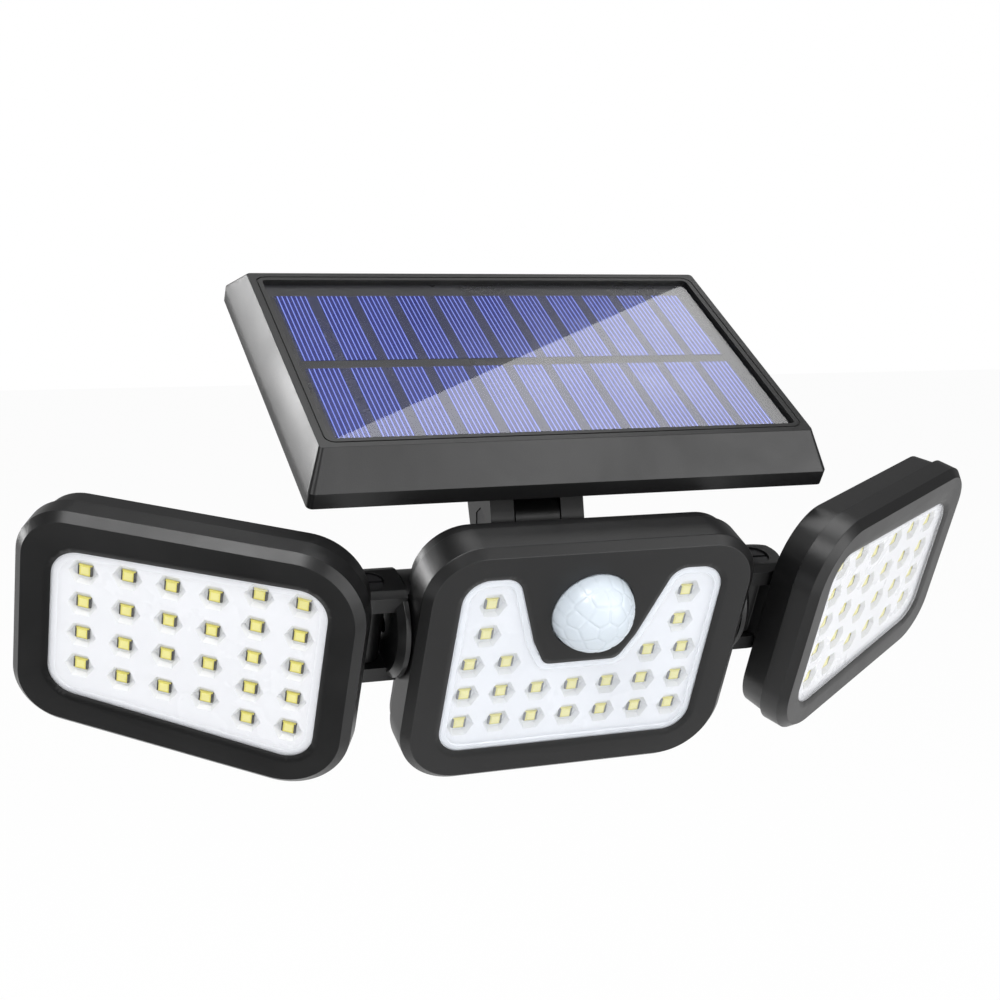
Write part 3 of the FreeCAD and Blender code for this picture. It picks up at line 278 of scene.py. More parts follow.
def clear_sheet(name, haze_colour, haze, rough, wrinkle=0.0):
    """See-through sheet: clear body, a little haze, and gloss that rises towards grazing."""
    found = bpy.data.materials.get(name)
    if found:
        return found
    material = finish(name, haze_colour, (0.3, 0.4), 0.0, 1500.0, 0.02)
    tree = material.node_tree
    shader = tree.nodes["Principled BSDF"]
    shader.inputs["Specular IOR Level"].default_value = 0.0
    place = tree.nodes.new("ShaderNodeTexCoord").outputs["Object"]
    hazed = place_group(tree, "Wiped patches", place, {"Low": haze * 0.9, "High": haze * 1.1, "Scale": 45.0})
    glossed = place_group(tree, "Wiped patches", place, {"Low": rough[0], "High": rough[1]})
    clear = tree.nodes.new("ShaderNodeBsdfTransparent")
    gloss = tree.nodes.new("ShaderNodeBsdfGlossy")
    body = tree.nodes.new("ShaderNodeMixShader")
    surface = tree.nodes.new("ShaderNodeMixShader")
    link(tree, hazed.outputs["Value"], body.inputs["Fac"])
    link(tree, clear.outputs[0], body.inputs[1])
    link(tree, shader.outputs[0], body.inputs[2])
    link(tree, glossed.outputs["Value"], gloss.inputs["Roughness"])
    link(tree, outer_gloss(tree, 1.49), surface.inputs["Fac"])
    link(tree, body.outputs[0], surface.inputs[1])
    link(tree, gloss.outputs[0], surface.inputs[2])
    link(tree, surface.outputs[0], tree.nodes["Material Output"].inputs["Surface"])
    if wrinkle > 0:
        grained = place_group(tree, "Moulded grain", place, {"Grain scale": 420.0})
        add_bump(tree, grained.outputs["Height"], wrinkle, WRINKLE_DEPTH, gloss.inputs["Normal"])
    return material


# ---- mesh helpers ---------------------------------------------------------------------------
WELD_GAP = 0.002                        # millimetres between points that are one
FLAT_WITHIN, ROUND_ABOVE = 1.0, 28.0    # degrees between two faces
LEAST_BEND = 0.02                       # smallest radius of an outline's corner


def piece(name, mesh, body, replaces=(), materials=()):
    """Finished object at the origin that rides on a body."""
    made = bpy.data.objects.new(name, mesh)
    bpy.context.scene.collection.objects.link(made)
    for material in materials:
        mesh.materials.append(material)
    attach(made, body)
    if replaces:
        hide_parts(*replaces)
    return made


def evaluated(made, matrix=None):
    """Plain mesh of an object with its modifiers; the object is then removed."""
    bpy.context.view_layer.update()
    graph = bpy.context.evaluated_depsgraph_get()
    mesh = bpy.data.meshes.new_from_object(
        made.evaluated_get(graph), preserve_all_data_layers=True, depsgraph=graph)
    if matrix is not None:
        mesh.transform(matrix)
    bpy.data.objects.remove(made)
    return mesh


def smooth(mesh, degrees=38):
    """Smooth shading that breaks at edges sharper than an angle."""
    mesh.shade_smooth()
    mesh.set_sharp_from_angle(angle=math.radians(degrees))


def baked(bm, name):
    """Mesh made from a bmesh, which is then freed."""
    mesh = bpy.data.meshes.new(name)
    bm.to_mesh(mesh)
    bm.free()
    return mesh


def closed_mesh(bm, name, degrees, matrix):
    """Smooth mesh in the row frame from a closed bmesh, with its faces turned outwards."""
    bmesh.ops.recalc_face_normals(bm, faces=bm.faces)
    mesh = baked(bm, name)
    smooth(mesh, degrees)
    mesh.transform(matrix)
    return mesh


def packed_copy(node):
    """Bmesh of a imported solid, with its loose triangles joined."""
    bm = bmesh.new()
    bm.from_mesh(frame["nodes"][node].data)
    bmesh.ops.remove_doubles(bm, verts=bm.verts, dist=WELD_GAP * MM)
    return bm


def drop_stored_normals(mesh):
    """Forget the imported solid's own normals, so that the copy gets its own."""
    stored = mesh.attributes.get("custom_normal")
    if stored:
        mesh.attributes.remove(stored)


def welded_mesh(node):
    """Flat-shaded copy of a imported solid."""
    mesh = baked(packed_copy(node), node + "_welded")
    drop_stored_normals(mesh)
    mesh.shade_flat()
    return mesh


def softened_mesh(node, radius):
    """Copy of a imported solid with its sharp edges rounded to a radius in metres."""
    bm = packed_copy(node)
    bmesh.ops.dissolve_limit(bm, angle_limit=math.radians(FLAT_WITHIN), verts=bm.verts, edges=bm.edges)
    mesh = baked(bm, node + "_soft")
    drop_stored_normals(mesh)
    smooth(mesh)
    holder = bpy.data.objects.new(node + "_holder", mesh)
    bpy.context.scene.collection.objects.link(holder)
    bevel = holder.modifiers.new("Rounding", "BEVEL")
    bevel.width = radius
    bevel.segments = 3
    bevel.limit_method = "ANGLE"
    bevel.angle_limit = math.radians(ROUND_ABOVE)
    bevel.miter_outer = "MITER_ARC"
    weighted = holder.modifiers.new("Flat faces", "WEIGHTED_NORMAL")
    weighted.keep_sharp = True
    return evaluated(holder)


def softened(node, body, radius):
    """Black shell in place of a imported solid."""
    mesh = softened_mesh(node, radius)
    mesh.materials.clear()
    return piece(node + "_shell", mesh, body, [node], [shell_black()])


def ring(corners, grow=0.0, steps=7):
    """Points of a closed outline of (x, z, radius) corners, moved outwards by grow."""
    area = sum(a[0] * b[1] - b[0] * a[1] for a, b in zip(corners, corners[1:] + corners[:1]))
    sign = 1 if area > 0 else -1
    count = len(corners)
    lines = []
    for i, (x, z, _) in enumerate(corners):
        following = corners[(i + 1) % count]
        along = Vector((following[0] - x, following[1] - z)).normalized()
        out = Vector((along.y, -along.x)) * sign
        lines.append((Vector((x, z)) + out * grow, along))
    points = []
    for i, (_, _, radius) in enumerate(corners):
        (before, a), (after, b) = lines[i - 1], lines[i]
        cross = a.x * b.y - a.y * b.x
        offset = after - before
        corner = before + a * ((offset.x * b.y - offset.y * b.x) / cross)
        bend = max(radius + (grow if cross * sign > 0 else -grow), LEAST_BEND)
        half = math.acos(max(-1, min(1, a.dot(b)))) / 2
        reach = bend * math.tan(half)
        centre = corner - a * reach + Vector((-a.y, a.x)) * (bend if cross > 0 else -bend)
        start = corner - a * reach - centre
        sweep = 2 * half if cross > 0 else -2 * half
        for k in range(steps + 1):
            c, s = math.cos(sweep * k / steps), math.sin(sweep * k / steps)
            points.append(centre + Vector((start.x * c - start.y * s, start.x * s + start.y * c)))
    return points


def skin(bm, loops):
    """Quads between following loops of equal length; returns the rows of vertices."""
    rows = [[bm.verts.new((x * MM, y * MM, z * MM)) for x, z in points] for points, y in loops]
    for low, high in zip(rows, rows[1:]):
        for i in range(len(low)):
            j = (i + 1) % len(low)
            bm.faces.new((low[i], low[j], high[j], high[i]))
    return rows


def sheet_mesh(name, corners, low, high, rounding, matrix):
    """Flat sheet between two depths, with a rounded front edge."""
    bm = bmesh.new()
    part_way = rounding * 0.3
    rows = skin(bm, [(ring(corners, -rounding), low), (ring(corners, -part_way), low + part_way),
                     (ring(corners), low + rounding), (ring(corners), high)])
    bm.faces.new(rows[0])
    bm.faces.new(rows[-1][::-1])
    return closed_mesh(bm, name, 12, matrix)


# ---- geometry nodes: one small unit on every point --------------------------------------------
def repeat_tree():
    found = bpy.data.node_groups.get("Unit on points")
    if found:
        return found
    tree, start, end = group(
        "Unit on points",
        [("Points", "Geometry", None), ("Unit", "Object", None), ("Unit scale", "Vector", (1, 1, 1)),
         ("Tilt jitter", "Float", None), ("Seed", "Int", 7), ("Material", "Material", None)],
        [("Geometry", "Geometry")], "GeometryNodeTree")
    tree.is_modifier = True
    unit = tree.nodes.new("GeometryNodeObjectInfo")
    jitter = tree.nodes.new("FunctionNodeRandomValue")
    jitter.data_type = "FLOAT"
    negative = tree.nodes.new("ShaderNodeMath")
    negative.operation = "MULTIPLY"
    negative.inputs[1].default_value = -1.0
    angles = tree.nodes.new("ShaderNodeCombineXYZ")
    onto = tree.nodes.new("GeometryNodeInstanceOnPoints")
    real = tree.nodes.new("GeometryNodeRealizeInstances")
    paint = tree.nodes.new("GeometryNodeSetMaterial")
    link(tree, start.outputs["Tilt jitter"], negative.inputs[0])
    link(tree, negative.outputs[0], jitter.inputs["Min"])
    link(tree, start.outputs["Tilt jitter"], jitter.inputs["Max"])
    link(tree, start.outputs["Seed"], jitter.inputs["Seed"])
    link(tree, jitter.outputs[1], angles.inputs["Y"])
    link(tree, start.outputs["Unit"], unit.inputs["Object"])
    link(tree, start.outputs["Points"], onto.inputs["Points"])
    link(tree, unit.outputs["Geometry"], onto.inputs["Instance"])
    link(tree, angles.outputs["Vector"], onto.inputs["Rotation"])
    link(tree, start.outputs["Unit scale"], onto.inputs["Scale"])
    link(tree, onto.outputs["Instances"], real.inputs["Geometry"])
    link(tree, real.outputs["Geometry"], paint.inputs["Geometry"])
    link(tree, start.outputs["Material"], paint.inputs["Material"])
    link(tree, paint.outputs["Geometry"], end.inputs["Geometry"])
    return tree


def repeated_mesh(name, unit_mesh, spots, matrix, material, jitter=0.0):
    """One mesh with the unit on every (x, y, z) spot, turned into the row frame."""
    scene = bpy.context.scene
    unit = bpy.data.objects.new(name + "_unit", unit_mesh)
    scene.collection.objects.link(unit)
    points = bpy.data.meshes.new(name + "_points")
    points.from_pydata([Vector(spot) * MM for spot in spots], [], [])
    holder = bpy.data.objects.new(name + "_holder", points)
    scene.collection.objects.link(holder)
    modifier = holder.modifiers.new("Repeat", "NODES")
    tree = repeat_tree()
    modifier.node_group = tree
    values = {"Unit": unit, "Tilt jitter": math.radians(jitter), "Material": material}
    for item in tree.interface.items_tree:
        if item.in_out == "INPUT" and item.name in values:
            modifier[item.identifier] = values[item.name]
    mesh = evaluated(holder, matrix)
    bpy.data.objects.remove(unit)
    mesh.name = name
    return mesh


def block_mesh(name, size, top_shrink=0.0, rounding=0.0):
    """Small block whose front (-y) face may be drawn in; y runs from 0 forwards to -size[1]."""
    bm = bmesh.new()
    x, y, z = [s / 2 * MM for s in size]
    t = top_shrink * MM
    back = [bm.verts.new(v) for v in ((-x, 0, -z), (x, 0, -z), (x, 0, z), (-x, 0, z))]
    front = [bm.verts.new(v) for v in ((-x + t, -2 * y, -z + t), (x - t, -2 * y, -z + t),
                                       (x - t, -2 * y, z - t), (-x + t, -2 * y, z - t))]
    bm.faces.new(front)
    bm.faces.new(back[::-1])
    for i in range(4):
        j = (i + 1) % 4
        bm.faces.new((back[i], back[j], front[j], front[i]))
    bmesh.ops.recalc_face_normals(bm, faces=bm.faces)
    if rounding > 0:
        bmesh.ops.bevel(bm, geom=bm.edges, offset=rounding * MM, segments=2, profile=0.6, affect="EDGES")
    mesh = baked(bm, name)
    smooth(mesh, 50)
    return mesh


# ---- layout of the optics ---------------------------------------------------------------------
LED_W, LED_H, LED_T = 3.5, 2.8, 0.7
LED_DRAFT, LED_ROUND = 0.05, 0.03
LED_BLOCKS = (                # label, size, middle of its back on the board, random tilt in degrees
    ("cases", (LED_W - 0.3, LED_T - 0.1, LED_H), (0, LED_T, 0), 0.0),
    ("phosphor", (LED_W - 1.5, 0.2, LED_H - 0.85), (-0.05, 0.14, 0.05), 2.0),
    ("left_leads", (0.5, LED_T - 0.09, LED_H - 0.1), (0.2 - LED_W / 2, LED_T, 0), 0.0),
    ("right_leads", (0.62, LED_T - 0.07, LED_H - 0.1), (LED_W / 2 - 0.28, LED_T, 0), 0.0),
    # foot_lines: a thin dark strip along each LED's lower edge and onto the board, painted shade under the
    # case, given the leads' finish
    ("foot_lines", (LED_W - 0.6, 0.3, 0.16), (0, LED_T - 0.3, -LED_H / 2), 0.0))
LENS_FRONT, CUP_FRONT = -1.5, -0.7
LENS_CLEAR = 0.12             # air between a window's back and the cups
SEAT = 1.2                    # the window's edge goes this far under the bezel
RIM_W, RIM_UP = 1.5, 0.2      # raised line round each window
RIM_SLOPE, RIM_INSET = 0.3, 0.1
C_COL, C_ROW = 9.5, 8.75
C_ROWS = ((-3, -2, -1, 0, 1, 2, 3), (-3, -2, -1, 0, 1, 2, 3), (-3, -2, 2, 3), (-2.7, 2.7), (-2.7, 2.7))
S_COL = 10.23
S_ROWS = ((5, 8.74), (5, 8.74), (4, 9.51), (4, 9.51), (4, 9.51), (4, 8.74))     # LEDs in a column, pitch
S_LED_UP = 1.2
DOME_R, DOME_Z, DOME_Y = 10.5, 32.3, -1.2
DOME_AROUND, DOME_RINGS = 168, 58
DOME_LIP = (                  # how far past DOME_R, depth
    (0, 0.15), (0, 0.38), (1.5, 0.42), (1.5, 1.35), (-1.0, 1.35), (-1.0, 0.0))
LENSLET_RINGS = ((6, 27, 0), (12, 50, 15), (16, 72, 0))     # how many, degrees from the crown, turn
GROOVE_REACH, CROWN_REACH, CROWN_SHARE, FOOT_FADE = 0.035, 0.35, 0.9, 0.12


def centre_spots():
    return [(c * C_COL, 0, r * C_ROW) for r, row in enumerate(C_ROWS) for c in row]


def side_spots(side):
    return [(OUTWARD[side] * c * S_COL, 0, (r - (n - 1) / 2) * pitch + S_LED_UP)
            for c, (n, pitch) in enumerate(S_ROWS) for r in range(n)]


def centre_window():
    right = [(34.0, -7.2, 6.5), (34.0, 42.7, 6.5), (20.5, 42.7, 5.0), (13.7, 24.0, 4.0), (9.8, 17.0, 3.0)]
    return right + [(-x, z, r) for x, z, r in reversed(right)]


def side_window(side):
    s = OUTWARD[side]
    return [(58.6 * s, -19.3, 7.0), (-6.2 * s, -23.8, 7.0), (-6.2 * s, 23.8, 7.0), (58.6 * s, 19.3, 7.0)]


HEADS = (("centre", HEAD), ("left", SIDES["left"]), ("right", SIDES["right"]))


def head_body(head):
    return head + "_head"


def spots_of(head):
    return centre_spots() if head == "centre" else side_spots(head)


def window_of(head):
    return centre_window() if head == "centre" else side_window(head)


# ---- operators -------------------------------------------------------------------------------------
class LightOperator:
    """Shared options of the operators below."""
    bl_options = {"REGISTER", "UNDO"}


class LIGHT_OT_shells(LightOperator, bpy.types.Operator):
    """Round the edges of the black bezels, housings and hinge pieces"""
    bl_idname = "light.shells"
    bl_label = "Black Shells"

    def execute(self, context):
        large, small = sizes().shell_round, sizes().small_round
        softened("centre_bezel", "centre_head", large)
        softened("centre_rear_housing", "centre_head", large)
        softened("panel_housing", "solar_panel", small)
        softened("panel_back_cover", "solar_panel", small)
        softened("panel_fork", "solar_panel", small)
        softened("bracket_arm", "wall_bracket", small)
        softened("wall_plate", "wall_bracket", small)
        for side in SIDES:
            softened(side + "_bezel", side + "_head", large)
            softened(side + "_rear_shell", side + "_head", large)
            softened(side + "_swivel_knuckle", side + "_knuckle", small)
        return {"FINISHED"}


class LIGHT_OT_optics(LightOperator, bpy.types.Operator):
    """Put white cups, LEDs and a window sheet into each head"""
    bl_idname = "light.optics"
    bl_label = "Cups, LEDs and Windows"

    def execute(self, context):
        for head, matrix in HEADS:
            body = head_body(head)
            mesh = welded_mesh(head + "_reflector")
            piece(head + "_cups", mesh, body, [head + "_reflector"], [cup_white()])
            self.leds(head, matrix, body)
            self.window(head, matrix, body)
        return {"FINISHED"}

    def leds(self, head, matrix, body):
        package = finish("led_package", (0.80, 0.72, 0.12), (0.3, 0.45), 0.05, 1500.0, 0.05)
        phosphor = finish("led_phosphor", colours().phosphor, (0.35, 0.5), 0.25, 5200.0, 0.14)
        lead = finish("led_lead", (0.03, 0.028, 0.02), (0.3, 0.45), 0.05, 1500.0, 0.2)
        # blocks not listed here, the leads and the strip of painted shade under each LED, take the dark lead
        # finish
        finishes = {"cases": package, "phosphor": phosphor}
        for label, size, foot, tilt in LED_BLOCKS:
            unit = block_mesh(label, size, LED_DRAFT, LED_ROUND)
            places = [(x + foot[0], foot[1], z + foot[2]) for x, _, z in spots_of(head)]
            mesh = repeated_mesh(label, unit, places, matrix, finishes.get(label, lead), tilt)
            piece(head + "_led_" + label, mesh, body,
                  [head + "_leds"] if label == "cases" else [])

    def window(self, head, matrix, body):
        low, flat, back = LENS_FRONT - RIM_UP, LENS_FRONT, CUP_FRONT - LENS_CLEAR
        bm = bmesh.new()
        loops = [(-RIM_W - RIM_SLOPE, flat), (-RIM_W, low), (-RIM_INSET - RIM_SLOPE, low),
                 (-RIM_INSET, flat), (SEAT, flat), (SEAT, back)]
        rows = skin(bm, [(ring(window_of(head), grow, 9), depth) for grow, depth in loops])
        for face in bm.faces:
            raised = face.calc_center_median().y < (flat - RIM_UP / 10) * MM
            face.material_index = 1 if raised else 0
        bm.faces.new(rows[0])
        bm.faces.new(rows[-1][::-1])
        mesh = closed_mesh(bm, head + "_window", 20, matrix)
        if head == "centre":
            sheet = clear_sheet("frosted_window", (0.78, 0.83, 0.90), 0.13, (0.10, 0.18), 0.15)
            rim = clear_sheet("frosted_window_rim", (0.84, 0.88, 0.94), 0.45, (0.15, 0.25))
        else:
            sheet = clear_sheet("clear_window", (0.90, 0.92, 0.96), 0.03, (0.03, 0.07), 0.05)
            rim = clear_sheet("clear_window_rim", (0.88, 0.90, 0.94), 0.24, (0.10, 0.16))
        piece(head + "_window", mesh, body, [head + "_lens"], [sheet, rim])


class LIGHT_OT_dome(LightOperator, bpy.types.Operator):
    """Model the motion sensor's milky dome with its grooved lenslets"""
    bl_idname = "light.dome"
    bl_label = "Sensor Dome"

    def execute(self, context):
        milk = finish("milky_dome", colours().dome, (0.18, 0.28), 0.04, 1200.0, 0.03, {
            "Subsurface Weight": 0.10, "Subsurface Radius": (0.004, 0.004, 0.0045),
            "Subsurface Scale": 0.6, "IOR": 1.5})
        centres = self.lenslets()
        groove = sizes().lenslet_groove / MM
        bm = bmesh.new()
        rows = []
        for j in range(1, DOME_RINGS + 1):
            polar = math.pi / 2 * j / DOME_RINGS
            rows.append([bm.verts.new(self.grooved(polar, self.angle(i), centres, groove))
                         for i in range(DOME_AROUND)])
        crown = bm.verts.new(self.grooved(0.0, 0.0, centres, groove))
        for i in range(DOME_AROUND):
            bm.faces.new((crown, rows[0][i], rows[0][(i + 1) % DOME_AROUND]))
        for beyond, depth in DOME_LIP:
            rows.append([bm.verts.new(self.lip(DOME_R + beyond, self.angle(i), depth))
                         for i in range(DOME_AROUND)])
        for low, high in zip(rows, rows[1:]):
            for i in range(DOME_AROUND):
                j = (i + 1) % DOME_AROUND
                bm.faces.new((low[i], high[i], high[j], low[j]))
        mesh = closed_mesh(bm, "sensor_dome", 45, HEAD)
        piece("sensor_dome", mesh, "centre_head", ["pir_dome"], [milk])
        return {"FINISHED"}

    @staticmethod
    def angle(i):
        return 2 * math.pi * i / DOME_AROUND

    @staticmethod
    def lip(radius, angle, depth):
        return Vector((radius * math.cos(angle), DOME_Y + depth, DOME_Z + radius * math.sin(angle))) * MM

    @staticmethod
    def direction(polar, angle):
        """Unit vector that leans from the dome's crown by one angle, turned round it by the other."""
        side = math.sin(polar)
        return Vector((side * math.cos(angle), -math.cos(polar), side * math.sin(angle)))

    def lenslets(self):
        """Directions of the lenslets' middles: one at the crown, and rings round it."""
        found = [Vector((0, -1, 0))]
        for count, degrees, start in LENSLET_RINGS:
            for k in range(count):
                angle = math.radians(start) + 2 * math.pi * k / count
                found.append(self.direction(math.radians(degrees), angle))
        return found

    def grooved(self, polar, angle, centres, groove):
        """Point on the ball, let in where two lenslets meet and crowned in between."""
        out = self.direction(polar, angle)
        near = sorted((1 - out.dot(centre)) ** 0.5 for centre in centres)[:2]
        seam = math.exp(-((near[1] - near[0]) / GROOVE_REACH) ** 2)
        crown = CROWN_SHARE * min(near[0] / CROWN_REACH, 1) ** 2
        fade = min(1, (math.pi / 2 - polar) / FOOT_FADE)
        return (Vector((0, DOME_Y, DOME_Z)) + out * (DOME_R - groove * (seam + crown) * fade)) * MM


# the printed cells, in the panel's frame
CELL_FIRST_X, CELL_PITCH, FINGER_PITCH = -58.87, 10.78, 1.23
CELL_COUNT, FINGER_COUNT = 11, 7
CELL_ROWS = (("lower", 4.4, 34.2), ("upper", 37.7, 67.8))
CELL_EDGES, GAP_EDGES = 0.7, 2.0          # past the outer fingers, both sides together
GLASS_HALF, GLASS_LOW, GLASS_HIGH, GLASS_Y = 61.5, 3.6, 73.4, 1.0
COVER_T, COVER_ROUND = 0.34, 0.12
BACKING_FRONT, BACKING_BACK, BACKING_ROUND = 0.55, 2.6, 0.1                # behind GLASS_Y
GAP_LAYER, CELL_LAYER, FINGER_LAYER = (0.55, 0.06), (0.49, 0.05), (0.44, 0.03)    # back, thickness


class LIGHT_OT_solar_face(LightOperator, bpy.types.Operator):
    """Build the solar face: black backing, navy rows, blue cells, printed lines and cover"""
    bl_idname = "light.solar_face"
    bl_label = "Solar Face"

    def execute(self, context):
        corners = [(-GLASS_HALF, GLASS_LOW, 1.0), (GLASS_HALF, GLASS_LOW, 1.0),
                   (GLASS_HALF, GLASS_HIGH, 1.0), (-GLASS_HALF, GLASS_HIGH, 1.0)]
        backing = finish("cell_backing", (0.006, 0.006, 0.008), (0.25, 0.35), 0.1, 1200.0, 0.3)
        mesh = sheet_mesh("solar_backing", corners, GLASS_Y + BACKING_FRONT, GLASS_Y + BACKING_BACK,
                          BACKING_ROUND, PANEL)
        piece("solar_backing", mesh, "solar_panel", ["solar_laminate"], [backing])
        self.print_layers()
        cover = clear_sheet("cover_sheet", (0.30, 0.32, 0.40), 0.006, (0.010, 0.018))
        mesh = sheet_mesh("solar_cover", corners, GLASS_Y, GLASS_Y + COVER_T, COVER_ROUND, PANEL)
        piece("solar_cover", mesh, "solar_panel", [], [cover])
        return {"FINISHED"}

    def print_layers(self):
        gap = finish("cell_gap", colours().gap, (0.2, 0.3), 0.05, 900.0, 0.15)
        cell = finish("cell_blue", colours().cell, (0.16, 0.26), 0.06, 700.0, 0.25)
        finger = finish("cell_finger", colours().finger, (0.3, 0.4), 0.05, 900.0, 0.08)
        strip = FINGER_PITCH * (FINGER_COUNT - 1)
        span = CELL_PITCH * (CELL_COUNT - 1) + strip
        starts = [CELL_FIRST_X + CELL_PITCH * i for i in range(CELL_COUNT)]
        lines = [start + FINGER_PITCH * j for start in starts for j in range(FINGER_COUNT)]
        for label, material, width, (level, thick), places in (
                ("gaps", gap, span + GAP_EDGES, GAP_LAYER, [CELL_FIRST_X + span / 2]),
                ("cells", cell, strip + CELL_EDGES, CELL_LAYER, [start + strip / 2 for start in starts]),
                ("fingers", finger, sizes().finger_width / MM, FINGER_LAYER, lines)):
            for row, low, high in CELL_ROWS:
                unit = block_mesh(label, (width, thick, high - low))
                spots = [(x, GLASS_Y + level, (low + high) / 2) for x in places]
                mesh = repeated_mesh(label, unit, spots, PANEL, material)
                piece("solar_%s_%s" % (label, row), mesh, "solar_panel")


BLACKENED = ("panel_nut", "panel_bolt", "left_fold_pin", "right_fold_pin")     # pins that show in front


class LIGHT_OT_finishes(LightOperator, bpy.types.Operator):
    """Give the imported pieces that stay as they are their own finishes"""
    bl_idname = "light.finishes"
    bl_label = "Finishes of Packed Pieces"

    def execute(self, context):
        by_slot = {
            "housing_black": shell_black(),
            "steel": steel(),
            "inner_black": inner_black(),
            "seal_rubber": rubber(),
            "led_board_white": board_white(),
            "board_green": board_green(),
            "white_cups": cup_white(),
            "cell_wrap": finish("cell_wrap", (0.02, 0.10, 0.42), (0.2, 0.3), 0.05, 900.0, 0.1),
            "solar_cells": inner_black(),
            "frosted_lens": board_white(),
            "clear_lens": board_white(),
            "led_phosphor": board_white(),
            "dome_milk": board_white(),
        }
        dark = finish("blackened_steel", (0.03, 0.03, 0.032), (0.3, 0.45), 0.1, 2600.0, 0.2,
                      {"Metallic": 0.6})
        for part in frame["record"]["subparts"]:
            mesh = frame["nodes"][part["node"]].data
            mesh.materials.clear()
            blackened = part["node"] in BLACKENED
            mesh.materials.append(dark if blackened else by_slot[part["material_slot"]])
        return {"FINISHED"}


# ---- stage ----------------------------------------------------------------------------------------------
CAMERA_AT = Vector((-173.5, -461.2, 104.9)) * MM
CAMERA_TURN, CAMERA_DOWN, CAMERA_LENS, SENSOR_WIDTH = 22.227, 7.001, 61.69, 36.0
FLOOR_Z, FLOOR_REACH, FLOOR_CAMERA_SHARE = -0.26, 6.0, 0.94
WORLD_DIFFUSE, WORLD_GLOSSY = 0.62, 0.22
LAMPS = (                     # name, place in m, size in m, power in W, aim in m
    ("key", (-0.75, -1.0, 1.2), 0.9, 17.0, (0, -0.06, 0.05)),
    ("fill", (0.9, -1.3, 0.2), 1.2, 9.0, (0, -0.06, 0.03)),
    ("top", (0.1, 0.0, 1.5), 1.0, 9.0, (0, -0.06, 0.05)))
FACE_Y = -2.2                 # front of the bezels
CARDS = (                     # name, frame, corners of the face in mm, reach, strength, grow
    ("glare_card", PANEL, ((-62, 1, 3.4), (62, 1, 73.6), (64, 1, 3.0)), 3.0, 3.5, 1.0),
    ("wall_card", PANEL,
     ((-65, 0, 0), (-65, 0, 77), (-68.3, 8, 84.6), (-68.3, 8, -7.1)), 2.0, 20.0, 3.2),
    ("bevel_card", PANEL,
     ((-65, 0, 0), (65, 0, 0), (68.3, 8, -7.1), (-68.3, 8, -7.1)), 2.0, 6.5, 1.6),
    ("left_front_card", SIDES["left"],
     ((15, FACE_Y, -33), (15, FACE_Y, 33), (-68, FACE_Y, 29), (-68, FACE_Y, -29)), 1.5, 0.12, 1.6),
    ("centre_front_card", HEAD,
     ((-44, FACE_Y, -17), (44, FACE_Y, -17), (44, FACE_Y, 51), (-44, FACE_Y, 51)), 1.4, 0.62, 1.3))


def stage_material(name, shade, camera_share):
    """Diffuse surface that a camera ray sees mostly as plain white."""
    material = bpy.data.materials.new(name)
    material.use_nodes = True
    tree = material.node_tree
    shader = tree.nodes["Principled BSDF"]
    set_inputs(shader, {"Base Color": (*shade, 1), "Roughness": 0.9, "Specular IOR Level": 0.1})
    out = tree.nodes["Material Output"]
    white = tree.nodes.new("ShaderNodeEmission")
    set_inputs(white, {"Color": (1, 1, 1, 1), "Strength": 1.0})
    path = tree.nodes.new("ShaderNodeLightPath")
    seen = tree.nodes.new("ShaderNodeMath")
    seen.operation = "MULTIPLY"
    seen.inputs[1].default_value = camera_share
    mix = tree.nodes.new("ShaderNodeMixShader")
    link(tree, path.outputs["Is Camera Ray"], seen.inputs[0])
    link(tree, seen.outputs[0], mix.inputs["Fac"])
    link(tree, shader.outputs[0], mix.inputs[1])
    link(tree, white.outputs[0], mix.inputs[2])
    link(tree, mix.outputs[0], out.inputs["Surface"])
    return material


